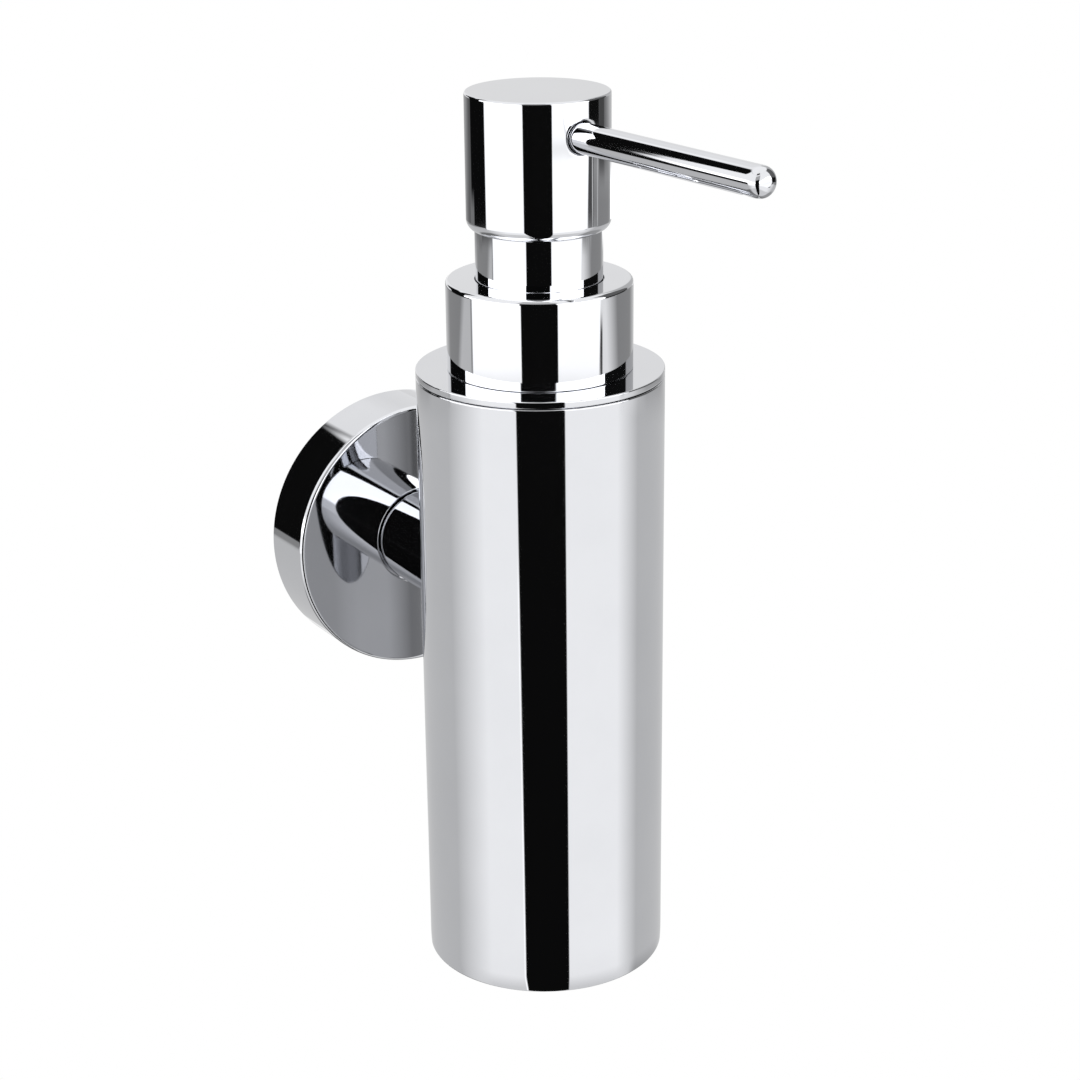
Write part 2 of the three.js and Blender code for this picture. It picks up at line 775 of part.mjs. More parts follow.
// Piston rod: a spigot in the stem, the spring's seat and a tail inside the spring
function pistonRod() {
  const seat = rodCollarTop - rodCollarHeight;
  return solid(revolved(outline(
    [0, seat - rodTailLength],
    [rodTailRadius / 2, seat - rodTailLength],
    [rodTailRadius, seat - rodTailLength + rodTailRadius],
    [rodTailRadius, seat],
    [rodCollarRadius, seat],
    [rodCollarRadius, rodCollarTop],
    [stemBore - pressGap, rodCollarTop],
    [stemBore - pressGap, rodCollarTop + rodSpigotLength],
    [0, rodCollarTop + rodSpigotLength],
  ), smallSides));
}

// Return spring: one wound wire with closed ends
function returnSpring() {
  const wire = new THREE.Shape();
  wire.absarc(0, 0, springWireRadius, 0, Math.PI * 2);
  return solid(new THREE.ExtrudeGeometry(wire, {
    extrudePath: new SpringLine(),
    steps: springTurns * springStepsPerTurn,
    curveSegments: springWireSides / 2,
    bevelEnabled: false,
  }));
}

// Head: a cap that slides down over the guide sleeve, with a flared hole for the spout
function headShell() {
  const form = new THREE.Path();
  form.moveTo(0, headBottom);
  form.lineTo(headRadius - headBottomEdge, headBottom);
  form.absarc(headRadius - headBottomEdge, headBottom + headBottomEdge, headBottomEdge, -Math.PI / 2, 0);
  form.lineTo(headRadius, headTop - headTopEdge);
  form.absarc(headRadius - headTopEdge, headTop - headTopEdge, headTopEdge, 0, Math.PI / 2);
  form.lineTo(0, headTop);
  const hollow = bar(headBore, headBottom - cutOverrun, headTop - headTopWall, mediumSides);
  const hole = bar(spoutHoleRadius, 0, headRadius + cutOverrun, smallSides);
  const deepest = headRadius - spoutHoleFlare * 2;
  const flareEnd = headRadius + cutOverrun;
  const flare = cone(spoutHoleRadius, spoutHoleRadius + flareEnd - deepest, deepest, flareEnd, smallSides);
  const outwards = (geometry) => solid(geometry.rotateX(Math.PI / 2).translate(0, 0, spoutHeight));
  return solid(revolved(form, mediumSides))
    .subtract(solid(hollow))
    .subtract(outwards(hole))
    .subtract(outwards(flare));
}

// Head insert: carries the stem's socket, the cross channel and the spout's socket
function headInsert() {
  const low = spoutHeight - insertDepth;
  const radius = headBore - pressGap;
  const boss = outline(
    [0, low - insertSocketReach],
    [insertSocketRadius, low - insertSocketReach],
    [insertSocketRadius, low],
    [radius, low],
    [radius, insertTop],
    [0, insertTop],
  );
  const outwards = (geometry) => solid(geometry.rotateX(Math.PI / 2).translate(0, 0, spoutHeight));
  const socketLow = low - insertSocketReach - cutOverrun;
  const stemSocket = bar(stemRadius + runningGap / 2, socketLow, stemTop + pressGap, smallSides);
  const sealSeat = sealFace - sealCord * 2 - pressGap;
  let body = solid(revolved(boss, mediumSides))
    .subtract(solid(stemSocket))
    .subtract(solid(bar(ceilingBoreRadius, stemTop, spoutHeight, smallSides)))
    .subtract(outwards(bar(channelRadius, 0, spoutRoot + cutOverrun, smallSides)))
    .subtract(outwards(bar(spoutRadius + pressGap, spoutRoot, headRadius, smallSides)))
    .subtract(outwards(bar(sealRadius + pressGap, sealSeat, headRadius, smallSides)));
  const span = (Math.PI * 2 * insertPocketFill) / insertPockets;
  for (let i = 0; i < insertPockets; i += 1) {
    const middle = Math.PI / 2 + (i / insertPockets) * Math.PI * 2;
    const pocket = new THREE.Shape();
    pocket.absarc(0, 0, insertPocketOuter, middle - span / 2, middle + span / 2);
    pocket.absarc(0, 0, insertPocketInner, middle + span / 2, middle - span / 2, true);
    pocket.closePath();
    const cutter = new THREE.ExtrudeGeometry(pocket, {
      depth: insertPocketDepth + cutOverrun, curveSegments: arcSteps, bevelEnabled: false,
    });
    body = body.subtract(solid(cutter.translate(0, 0, low - cutOverrun)));
  }
  return body;
}

// Spout: a tube with a round closed end and its outlet underneath
function spoutTube() {
  const bore = spoutRadius - spoutWall;
  const end = spoutReach - spoutRadius;
  const wall = new THREE.Path();
  wall.moveTo(bore, spoutRoot);
  wall.lineTo(spoutRadius, spoutRoot);
  wall.lineTo(spoutRadius, end);
  wall.absarc(0, end, spoutRadius, 0, Math.PI / 2);
  wall.lineTo(0, end + bore);
  wall.absarc(0, end, bore, Math.PI / 2, 0, true);
  wall.closePath();
  const points = wall.getPoints(arcSteps);
  if (THREE.ShapeUtils.isClockWise(points)) points.reverse();
  const tube = new THREE.LatheGeometry(points, smallSides).rotateX(Math.PI / 2);
  const outlet = bar(outletRadius, -spoutRadius - cutOverrun, 0, tinySides);
  return solid(tube.rotateX(Math.PI / 2).translate(0, 0, spoutHeight))
    .subtract(solid(outlet.translate(0, -spoutReach + outletFromTip, spoutHeight)));
}

// Seal ring round the spout's root
function spoutSeal() {
  const ring = new THREE.Path();
  ring.absarc(sealRadius - sealCord, sealFace - sealCord, sealCord, 0, Math.PI * 2);
  const points = ring.getPoints(arcSteps * 2);
  const torus = new THREE.LatheGeometry(points, tinySides).rotateX(Math.PI / 2);
  return solid(torus.rotateX(Math.PI / 2).translate(0, 0, spoutHeight));
}

// Assembly: pieces on the wall side are turned so that their Z comes out of the wall
const dispenser = new THREE.Group();
const wallSide = new THREE.Group();
wallSide.rotation.x = Math.PI / 2;
dispenser.add(wallSide);
place(wallSide, "wall_plate", finishes.zinc, wallPlate());
place(wallSide, "flange", finishes.chrome, flange());
place(wallSide, "flange_grub_screw", finishes.steel, grubScrew());
place(wallSide, "arm", finishes.chrome, arm());
place(wallSide, "arm_washer", finishes.steel, armWasher());
place(wallSide, "arm_screw", finishes.steel, armScrew());
place(wallSide, "shell_screw", finishes.steel, shellScrew());
place(wallSide, "saddle_washer", finishes.steel, saddleWasher());

const bottleSide = new THREE.Group();
bottleSide.position.y = -bottleStandoff;
dispenser.add(bottleSide);
place(bottleSide, "shell", finishes.chrome, shell());
place(bottleSide, "shell_base", finishes.chrome, shellBase());
place(bottleSide, "lid_plate", finishes.chrome, lidPlate());
place(bottleSide, "inner_bottle", finishes.bottlePlastic, innerBottle());
place(bottleSide, "collar", finishes.chrome, collar());
place(bottleSide, "closure", finishes.pumpPlastic, closure());
place(bottleSide, "guide_sleeve", finishes.chrome, guideSleeve());
place(bottleSide, "neck_gasket", finishes.rubber, neckGasket());
place(bottleSide, "pump_housing", finishes.pumpPlastic, pumpHousing());
place(bottleSide, "pump_cap", finishes.pumpPlastic, pumpCap());
place(bottleSide, "dip_tube", finishes.pumpPlastic, dipTube());
place(bottleSide, "inlet_ball", finishes.steel, ball(inletBallRadius, seatBoreRadius, cageFloor));
place(bottleSide, "stem", finishes.pumpPlastic, stem());
place(bottleSide, "piston", finishes.pumpPlastic, piston());
place(bottleSide, "piston_rod", finishes.pumpPlastic, pistonRod());
place(bottleSide, "return_spring", finishes.steel, returnSpring());
const outletSeat = stemTop - stemCageDepth;
place(bottleSide, "outlet_ball", finishes.steel, ball(outletBallRadius, stemSeatBoreRadius, outletSeat));

const head = new THREE.Group();
head.rotation.z = THREE.MathUtils.degToRad(swivelAtRest);
bottleSide.add(head);
place(head, "head_shell", finishes.chrome, headShell());
place(head, "head_insert", finishes.pumpPlastic, headInsert());
place(head, "spout_tube", finishes.chrome, spoutTube());
place(head, "spout_seal", finishes.rubber, spoutSeal());

export default dispenser;
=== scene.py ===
"""Looks of a wall-mounted soap dispenser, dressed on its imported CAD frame.

Shapes are worked out in millimetres on their own seats, then placed in the row frame in metres.
The bottle hangs in front of the wall, towards -Y, and +Z is up.
"""

import logging
from dataclasses import dataclass, field
from enum import Enum
from typing import Sequence

import bmesh
import bpy
import numpy as np
from mathutils import Matrix


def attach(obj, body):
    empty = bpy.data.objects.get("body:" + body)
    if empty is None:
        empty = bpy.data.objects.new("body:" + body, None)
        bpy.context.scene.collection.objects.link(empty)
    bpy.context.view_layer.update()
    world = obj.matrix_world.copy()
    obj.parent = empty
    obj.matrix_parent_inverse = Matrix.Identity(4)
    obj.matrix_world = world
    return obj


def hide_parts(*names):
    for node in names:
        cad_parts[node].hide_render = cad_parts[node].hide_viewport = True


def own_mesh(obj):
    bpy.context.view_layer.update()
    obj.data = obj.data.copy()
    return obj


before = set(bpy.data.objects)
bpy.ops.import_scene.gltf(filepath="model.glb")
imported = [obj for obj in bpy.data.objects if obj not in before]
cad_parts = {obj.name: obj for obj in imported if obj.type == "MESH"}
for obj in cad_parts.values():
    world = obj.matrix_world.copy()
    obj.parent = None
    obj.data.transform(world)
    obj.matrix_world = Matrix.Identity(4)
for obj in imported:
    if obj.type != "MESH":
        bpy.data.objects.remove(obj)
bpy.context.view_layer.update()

Array = np.ndarray
Socket = bpy.types.NodeSocket
Pair = tuple[float, float]
Triple = tuple[float, float, float]
Four = tuple[float, float, float, float]
log = logging.getLogger("dispenser")

MM = 0.001
STANDOFF = 64.6  # from the wall to the bottle's axis, in millimetres

# what counts as nothing
NEAR = 1e-6  # between two places, in millimetres
NO_LENGTH = 1e-9  # of a side, in millimetres
WELD = 2e-7  # between two points that are welded, in metres
NO_AREA = 1e-15  # of a quad, in square metres
STRAIGHT = 0.999999  # the cosine between two sides that run on in one line

# how finely shapes are divided
SHARP_ANGLE = np.radians(35.0)  # an edge sharper than this stays crisp
ARC_STEPS = 8  # the sides of a rounded corner
GUARD = 0.12  # from a rounded corner to its guard point, in millimetres
GUARD_SHARE = 0.3  # the most of a side's straight run that its guard takes
PATCH_ROWS = 9  # the rows of a wall's patch round a hole
HOLE_ROWS = 7  # the rows from a patch's edge to its hole, and round the hole's lip
ARM_ROWS = 24  # the rows along the arm's side
SADDLE_ROWS = 10  # the rows from the arm's rim to its hole
NOSE_ROWS = 29  # the rows of the spout's blunt end
THREAD_STEPS = 72  # the steps in a turn of a thread
SPRING_STEPS = 60  # the steps in a turn of the spring
WIRE_SIDES = 16  # the sides of the spring's wire
BALL_ROWS = 24  # the rows from pole to pole of a ball
SEAL_SIDES = 20  # the sides of the seal's cord
NOSE_GAP = 0.02  # between the spout's side and its blunt end's first row

NOISE_BAND = (0.3, 0.7)  # where a noise's values lie
WHITE = (1.0, 1.0, 1.0, 1.0)
FIRST_MIRROR = 1.5  # a ray's glossy depth is under this after one mirror


class Body(str, Enum):
    """The moving bodies that pieces ride on."""

    BRACKET = "bracket"
    CONTAINER = "container"
    CLOSURE = "closure_set"
    PUMP = "pump"
    PLUNGER = "plunger"
    HEAD = "head"
    INLET = "inlet_valve"
    OUTLET = "outlet_valve"


class Slot(str, Enum):
    """The material slots of the part."""

    CHROME = "chrome"
    ZINC = "zinc"
    STEEL = "steel"
    BOTTLE = "bottle_plastic"
    PUMP = "pump_plastic"
    RUBBER = "rubber"


class Facing(Enum):
    """How finely a surface is divided round its axis."""

    SHOWN = 168
    INNER = 96
    SMALL = 48


# ---------------------------------------------------------------- shapes

@dataclass(frozen=True)
class Seat:
    """Where a sub-assembly's own axes lie in the row frame.

    Attributes:
        origin: The seat's own zero, in millimetres.
        axes: Where its x, y and z axes point, one row each.
    """

    origin: Triple
    axes: tuple[Triple, ...]

    def place(self, points: Array) -> Array:
        """Gives points of the seat in the row frame, in millimetres."""
        return points @ np.array(self.axes) + np.array(self.origin)


def unit(vector: Array) -> Array:
    """Gives the vector at length one."""
    return vector / np.linalg.norm(vector)


def rounded(*corners: Sequence[float], closed: bool = True) -> Array:
    """Draws an outline in radius and height, with arcs at its corners.

    An arc touches both sides of its corner and turns in equal angles from the first touch to
    the second. A guard point stands just outside each touch, so that a flat side shades flat.

    Args:
        corners: Radius, height and, at a rounded corner, the arc's own radius.
        closed: Whether the last side runs back to the first corner.

    Returns:
        The outline's points, one row each.
    """
    points = np.array([corner[:2] for corner in corners], float)
    sizes = np.array([corner[2] if len(corner) > 2 else 0.0 for corner in corners])
    back = unit_rows(np.roll(points, 1, axis=0) - points)
    ahead = unit_rows(np.roll(points, -1, axis=0) - points)
    half = 0.5 * np.arccos(np.clip((back * ahead).sum(axis=1), -STRAIGHT, STRAIGHT))
    reach = sizes / np.tan(half)
    length = np.linalg.norm(np.roll(points, -1, axis=0) - points, axis=1)
    guard = np.minimum(GUARD, GUARD_SHARE * (length - reach - np.roll(reach, -1)))
    parts: list[Array] = []
    for i, size in enumerate(sizes):
        at_end = not closed and i in (0, len(points) - 1)
        if size == 0.0 or at_end:
            parts.append(points[i][None])
            continue
        start, stop = points[i] + back[i] * reach[i], points[i] + ahead[i] * reach[i]
        centre = points[i] + unit(back[i] + ahead[i]) * size / np.sin(half[i])
        turn = np.pi - 2.0 * half[i]
        t = np.linspace(0.0, 1.0, ARC_STEPS + 1)[:, None]
        swing = np.sin((1 - t) * turn) * (start - centre) + np.sin(t * turn) * (stop - centre)
        first, last = start + back[i] * guard[i - 1], stop + ahead[i] * guard[i]
        parts += [first[None], centre + swing / np.sin(turn), last[None]]
    return np.concatenate(parts)


def unit_rows(vectors: Array) -> Array:
    """Gives each row at length one, and leaves a row of no length alone."""
    size = np.linalg.norm(vectors, axis=1, keepdims=True)
    return vectors / np.where(size > NO_LENGTH, size, 1.0)


def arc(centre: Pair, size: float, start: float, stop: float, steps: int = 12) -> Array:
    """Draws a round arc in radius and height: centre plus size times (cos, sin) of each angle.

    Args:
        centre: The arc's centre.
        size: Its radius.
        start: Its first angle in degrees.
        stop: Its last angle in degrees.
        steps: How many sides it has.

    Returns:
        The arc's points, one row each.
    """
    angle = np.radians(np.linspace(start, stop, steps + 1))
    return np.array(centre) + size * np.stack([np.cos(angle), np.sin(angle)], axis=-1)


def turns(columns: int) -> Array:
    """Gives the angle of each column round an axis, from the seat's -Y."""
    return np.linspace(0.0, 2.0 * np.pi, columns, endpoint=False)


def swept(radius: Array, height: Array, columns: int) -> Array:
    """Places radius and height round the seat's Z: x = radius sin(turn), y = -radius cos(turn).

    Args:
        radius: One radius for each row, or for each row and column.
        height: One height for each row, or for each row and column.
        columns: How many places there are round the axis.

    Returns:
        A grid of points, rows by columns.
    """
    turn = turns(columns)
    radius = radius if radius.ndim == 2 else radius[:, None]
    height = height if height.ndim == 2 else height[:, None]
    radius, height = np.broadcast_arrays(radius + 0 * turn, height + 0 * turn)
    return np.stack([radius * np.sin(turn), -radius * np.cos(turn), height], axis=-1)


def turned(outline: Array, columns: int) -> Array:
    """Turns an outline once round the seat's Z."""
    return swept(outline[:, 0], outline[:, 1], columns)


def smooth(low: float, high: float, value: Array) -> Array:
    """Rises from 0 at low to 1 at high, as 3t squared less 2t cubed."""
    t = np.clip((value - low) / (high - low), 0.0, 1.0)
    return t * t * (3.0 - 2.0 * t)


def quads_of(index: Array) -> Array:
    """Joins each point of a numbered grid to the next in its row and in its column."""
    return np.stack([index[:-1, :-1], index[:-1, 1:], index[1:, 1:], index[1:, :-1]], axis=-1)


@dataclass
class Skin:
    """Gathers grids of points on one seat into the closed surface of a piece."""

    seat: Seat
    points: list[Array] = field(default_factory=list)
    quads: list[Array] = field(default_factory=list)
    count: int = 0

    def add(self, grid: Array, wrap_rows: bool = False, keep: Array | None = None) -> "Skin":
        """Adds a grid whose last column is joined to its first.

        Args:
            grid: Points, rows by columns.
            wrap_rows: Whether the last row is joined to the first.
            keep: Which of the quads are kept, rows by columns, or None for all.

        Returns:
            The skin itself.
        """
        rows, columns = grid.shape[:2]
        index = np.arange(rows * columns).reshape(rows, columns) + self.count
        index = np.concatenate([index, index[:, :1]], axis=1)
        if wrap_rows:
            index = np.concatenate([index, index[:1]])
        quads = quads_of(index)
        self.quads.append(quads[keep] if keep is not None else quads.reshape(-1, 4))
        self.points.append(grid.reshape(-1, 3))
        self.count += rows * columns
        return self

    def mesh(self, name: str) -> bpy.types.Mesh:
        """Welds the grids at their shared points, turns faces outwards and shades them.

        A quad whose diagonals have no cross product, as between two rows on the axis, is left out,
        and so is a point that no quad uses, as in a patch's window.

        Args:
            name: The mesh's name.

        Returns:
            The mesh, in metres in the row frame.
        """
        places = self.seat.place(np.concatenate(self.points)) * MM
        quads = np.concatenate(self.quads)
        corners = places[quads]
        area = np.cross(corners[:, 2] - corners[:, 0], corners[:, 3] - corners[:, 1])
        quads = quads[np.linalg.norm(area, axis=1) > NO_AREA]
        used, order = np.unique(quads, return_inverse=True)
        mesh = bpy.data.meshes.new(name)
        mesh.from_pydata(places[used].tolist(), [], order.reshape(quads.shape).tolist())
        edit = bmesh.new()
        edit.from_mesh(mesh)
        bmesh.ops.remove_doubles(edit, verts=edit.verts, dist=WELD)
        bmesh.ops.recalc_face_normals(edit, faces=edit.faces)
        edit.to_mesh(mesh)
        edit.free()
        mesh.shade_smooth()
        mesh.set_sharp_from_angle(angle=SHARP_ANGLE)
        return mesh


@dataclass(frozen=True)
class Hole:
    """A round hole through a turned wall, with a lip rounded out of the outer face.

    Attributes:
        radius: The hole's radius.
        height: Its height on the wall.
        turn: Where it is round the wall, in degrees from the seat's -Y.
        lip: The radius of the lip's rounding.
        window: Half the height of the patch that is made afresh round it.
    """

    radius: float
    height: float
    turn: float = 0.0
    lip: float = 0.2
    window: float = 5.0

    def rows(self) -> Array:
        """Gives how far the patch's rows are up from the hole's axis."""
        return np.linspace(-self.window, self.window, PATCH_ROWS)

    @staticmethod
    def runs_along(outline: Array, wall: float) -> Array:
        """Tells which sides of a closed outline run along a wall."""
        on_wall = np.abs(outline[:, 0] - wall) < NEAR
        return on_wall & np.roll(on_wall, -1)

    def into(self, outline: Array, wall: float) -> Array:
        """Adds the patch's rows to the side of an outline that runs along a wall.

        Args:
            outline: The closed outline.
            wall: The wall's radius.

        Returns:
            The outline with its new points.
        """
        here, after = outline[:, 1], np.roll(outline[:, 1], -1)
        heights = self.height + self.rows()
        spans = (np.minimum(here, after) < heights[0]) & (np.maximum(here, after) > heights[-1])
        i = int(np.flatnonzero(self.runs_along(outline, wall) & spans)[0])
        if after[i] < here[i]:
            heights = heights[::-1]
        added = np.stack([np.full(len(heights), wall), heights], axis=-1)
        return np.concatenate([outline[:i + 1], added, outline[i + 1:]])

    def edge(self, wall: float, reach: int, columns: int) -> tuple[Array, Array]:
        """Walks once round the patch on a wall, through the wall's own columns and rows.

        Args:
            wall: The wall's radius.
            reach: How many columns the patch has on each side of the hole.
            columns: How many columns the wall has.

        Returns:
            How far each point is along and up from the hole's axis.
        """
        across = wall * np.sin(np.arange(-reach, reach + 1) * 2.0 * np.pi / columns)
        up = self.rows()
        side = np.ones(len(up) - 2)
        along = np.concatenate([across, side * across[-1], across[::-1], side * across[0]])
        flat = np.ones(len(across))
        rise = np.concatenate([flat * up[0], up[1:-1], flat * up[-1], up[1:-1][::-1]])
        return along, rise

    def seen(self, along: Array, deep: Array, up: Array) -> Array:
        """Turns points of the hole's own axes into the seat's.

        Args:
            along: How far they are along the wall from the hole's axis.
            deep: How far they are from the wall's axis, towards the hole.
            up: How far they are above the hole's axis.

        Returns:
            The points in the seat.
        """
        angle = np.radians(self.turn)
        x = along * np.cos(angle) + deep * np.sin(angle)
        y = along * np.sin(angle) - deep * np.cos(angle)
        return np.stack([x, y, self.height + up], axis=-1)

    def loops(self, wall: float, edge: tuple[Array, Array], rim: tuple[Array, Array]) -> Array:
        """Lays loops on a wall, from the patch's edge in to the hole's rim.

        A loop's points lie a share of the way from the edge to the rim, along and up, and as
        deep as the root of the wall's radius squared less their distance along squared.

        Args:
            wall: The wall's radius.
            edge: How far the edge's points are along and up from the hole's axis.
            rim: The same of the rim's points.

        Returns:
            A grid of points, one row for each loop.
        """
        t = np.linspace(0.0, 1.0, HOLE_ROWS)[:, None]
        along = edge[0] + t * (rim[0] - edge[0])
        rise = edge[1] + t * (rim[1] - edge[1])
        return self.seen(along, np.sqrt(wall**2 - along**2), rise)

    def pierce(self, skin: Skin, outline: Array, columns: int, outer: float, inner: float) -> None:
        """Turns an outline and cuts this hole through its outer and inner walls.

        The lip is a quarter round from the outer face to the bore: its radius is the bore's plus
        the lip times one less the angle's sine, and its depth falls by the lip times one less the
        cosine. The bore runs straight on to the inner wall.

        Args:
            skin: The surface that the wall is added to.
            outline: The closed outline.
            columns: How many columns the wall has.
            outer: The outer wall's radius.
            inner: The inner wall's radius.
        """
        outline = self.into(self.into(outline, outer), inner)
        step = 2.0 * np.pi / columns
        reach = int(np.ceil(np.arcsin(self.window / outer) / step))
        centre = int(round(np.radians(self.turn) / step))
        cut = np.zeros(columns, bool)
        cut[np.arange(centre - reach, centre + reach) % columns] = True
        near = np.abs(outline[:, 1] - self.height) < self.window + NEAR
        keep = np.ones((len(outline), columns), bool)
        for wall in (outer, inner):
            keep[np.ix_(self.runs_along(outline, wall) & near & np.roll(near, -1), cut)] = False
        skin.add(turned(outline, columns), wrap_rows=True, keep=keep)
        outer_edge, inner_edge = self.edge(outer, reach, columns), self.edge(inner, reach, columns)
        size = np.hypot(*outer_edge)
        ways = (outer_edge[0] / size, outer_edge[1] / size)
        wide = self.radius + self.lip
        skin.add(self.loops(outer, outer_edge, (ways[0] * wide, ways[1] * wide)))
        turn = np.radians(np.linspace(0.0, 90.0, HOLE_ROWS))[:, None]
        across = self.radius + self.lip * (1.0 - np.sin(turn))
        deep = np.sqrt(outer**2 - (wide * ways[0]) ** 2) - self.lip * (1.0 - np.cos(turn))
        lip = self.seen(across * ways[0], deep, across * ways[1])
        rim = (ways[0] * self.radius, ways[1] * self.radius)
        inside = self.loops(inner, inner_edge, rim)
        skin.add(np.concatenate([lip, inside[-1:]]))
        skin.add(inside)


def wound(section: Array, radius: float, angle: Array, height: Array, share: Array) -> Array:
    """Carries a closed section along a screw line round the seat's Z.

    A point's radius is the line's plus the share times the section's first value, and its height
    is the line's plus the share times the second: x = radius cos(angle), y = radius sin(angle).

    Args:
        section: The section's points, out and up from the line.
        radius: The line's radius.
        angle: The line's angles from the seat's X.
        height: The line's heights.
        share: How large the section is at each angle, 0 where it closes.

    Returns:
        A grid of points, one row for each angle.
    """
    out = radius + share[:, None] * section[:, 0]
    up = height[:, None] + share[:, None] * section[:, 1]
    return np.stack([out * np.cos(angle)[:, None], out * np.sin(angle)[:, None], up], axis=-1)


@dataclass(frozen=True)
class Thread:
    """A screw thread that stands on a wall, or hangs in a bore where its depth is less than 0.

    Attributes:
        root: The wall's radius.
        depth: How far it stands out.
        start: The height of its middle at its first end.
        laps: How many turns it makes.
        pitch: How far it climbs in a turn.
        widths: How wide it is at its root and at its crest.
        first: The turn that it starts at, from the seat's X.
        crest_edge: The rounding of its crest.
        fade: The share of a turn that each end grows over.
        sunk: The share of its depth that it reaches into the wall.
    """

    root: float
    depth: float
    start: float
    laps: float
    pitch: float = 4.2
    widths: Pair = (1.9, 0.9)
    first: float = 0.0
    crest_edge: float = 0.25
    fade: float = 0.07
    sunk: float = 0.25

    def onto(self, skin: Skin) -> Skin:
        """Winds the thread onto a skin: its height is the start plus the pitch times the laps.

        Args:
            skin: The surface that it is added to.

        Returns:
            The surface with its thread.
        """
        laps = np.linspace(0.0, self.laps, int(self.laps * THREAD_STEPS) + 1)
        share = np.minimum(smooth(0.0, self.fade, laps), smooth(0.0, self.fade, self.laps - laps))
        foot, crest = 0.5 * self.widths[0], 0.5 * self.widths[1]
        sunk = -self.sunk * self.depth
        section = rounded((sunk, -foot), (0.0, -foot), (self.depth, -crest, self.crest_edge),
                          (self.depth, crest, self.crest_edge), (0.0, foot), (sunk, foot))
        angle = 2.0 * np.pi * (self.first + laps)
        return skin.add(wound(section, self.root, angle, self.start + self.pitch * laps, share))


def hexed(outline: Array, half_width: float, columns: int) -> Array:
    """Turns an outline, with a hexagon wherever it stands at half the hexagon's width.

    There the radius is that half width over the cosine of the turn from the nearest flat's middle.

    Args:
        outline: Radius and height of each point.
        half_width: Half the hexagon's width across flats.
        columns: How many places there are round the axis, a multiple of 6.

    Returns:
        A grid of points, rows by columns.
    """
    turn = turns(columns)
    corner = 1.0 / np.cos(np.mod(turn, np.pi / 3.0) - np.pi / 6.0)
    flat = np.abs(outline[:, :1] - half_width) < NEAR
    return swept(outline[:, :1] * np.where(flat, corner, 1.0), outline[:, 1], columns)


# ---------------------------------------------------------------- finishes

class Tree:
    """A node tree that is written in short calls."""

    def __init__(self, owner: bpy.types.Material | bpy.types.World) -> None:
        """Gives a material or world an empty tree.

        Args:
            owner: The material or world.
        """
        owner.use_nodes = True
        self.tree = owner.node_tree
        self.tree.nodes.clear()

    def node(self, kind: str, settings: dict[str, object] | None = None,
             **inputs: object) -> bpy.types.Node:
        """Adds a node.

        Args:
            kind: The node's type.
            settings: Its own settings by name.
            **inputs: What goes into its sockets, by their names with _ for a space: a socket that
                it is joined to, or a value. A numbered socket is in_0, in_1 and so on.

        Returns:
            The node.
        """
        made = self.tree.nodes.new(kind)
        for name, value in (settings or {}).items():
            setattr(made, name, value)
        for name, value in inputs.items():
            key: int | str = int(name[3:]) if name.startswith("in_") else name.replace("_", " ")
            if isinstance(value, bpy.types.NodeSocket):
                self.tree.links.new(value, made.inputs[key])
            else:
                made.inputs[key].default_value = value
        return made

    def maths(self, operation: str, first: object, second: object = 0.0) -> Socket:
        """Adds a Math node and gives its result."""
        made = self.node("ShaderNodeMath", {"operation": operation}, in_0=first, in_1=second)
        return made.outputs[0]

    def ramp(self, value: object, low: float, high: float, bottom: float = 0.0,
             top: float = 1.0) -> Socket:
        """Maps a value from low..high to bottom..top, in a straight line and no further."""
        return self.node("ShaderNodeMapRange", Value=value, From_Min=low, From_Max=high,
                         To_Min=bottom, To_Max=top).outputs[0]

    def noise(self, place: Socket, scale: float, detail: float = 3.0,
              roughness: float = 0.5) -> Socket:
        """Adds a noise of that many waves in a metre and gives its value."""
        return self.node("ShaderNodeTexNoise", Vector=place, Scale=scale, Detail=detail,
                         Roughness=roughness).outputs[0]

    def mix(self, share: Socket, first: object, second: object) -> Socket:
        """Mixes two numbers: the first at a share of 0, the second at 1."""
        return self.node("ShaderNodeMix", in_0=share, in_2=first, in_3=second).outputs[0]

    def mix_shaders(self, share: Socket, first: Socket, second: Socket) -> Socket:
        """Mixes two shaders: the first at a share of 0, the second at 1."""
        return self.node("ShaderNodeMixShader", in_0=share, in_1=first, in_2=second).outputs[0]

    def glow(self, colour: object, strength: float) -> Socket:
        """Adds a world's light of one strength."""
        return self.node("ShaderNodeBackground", Color=colour, Strength=strength).outputs[0]


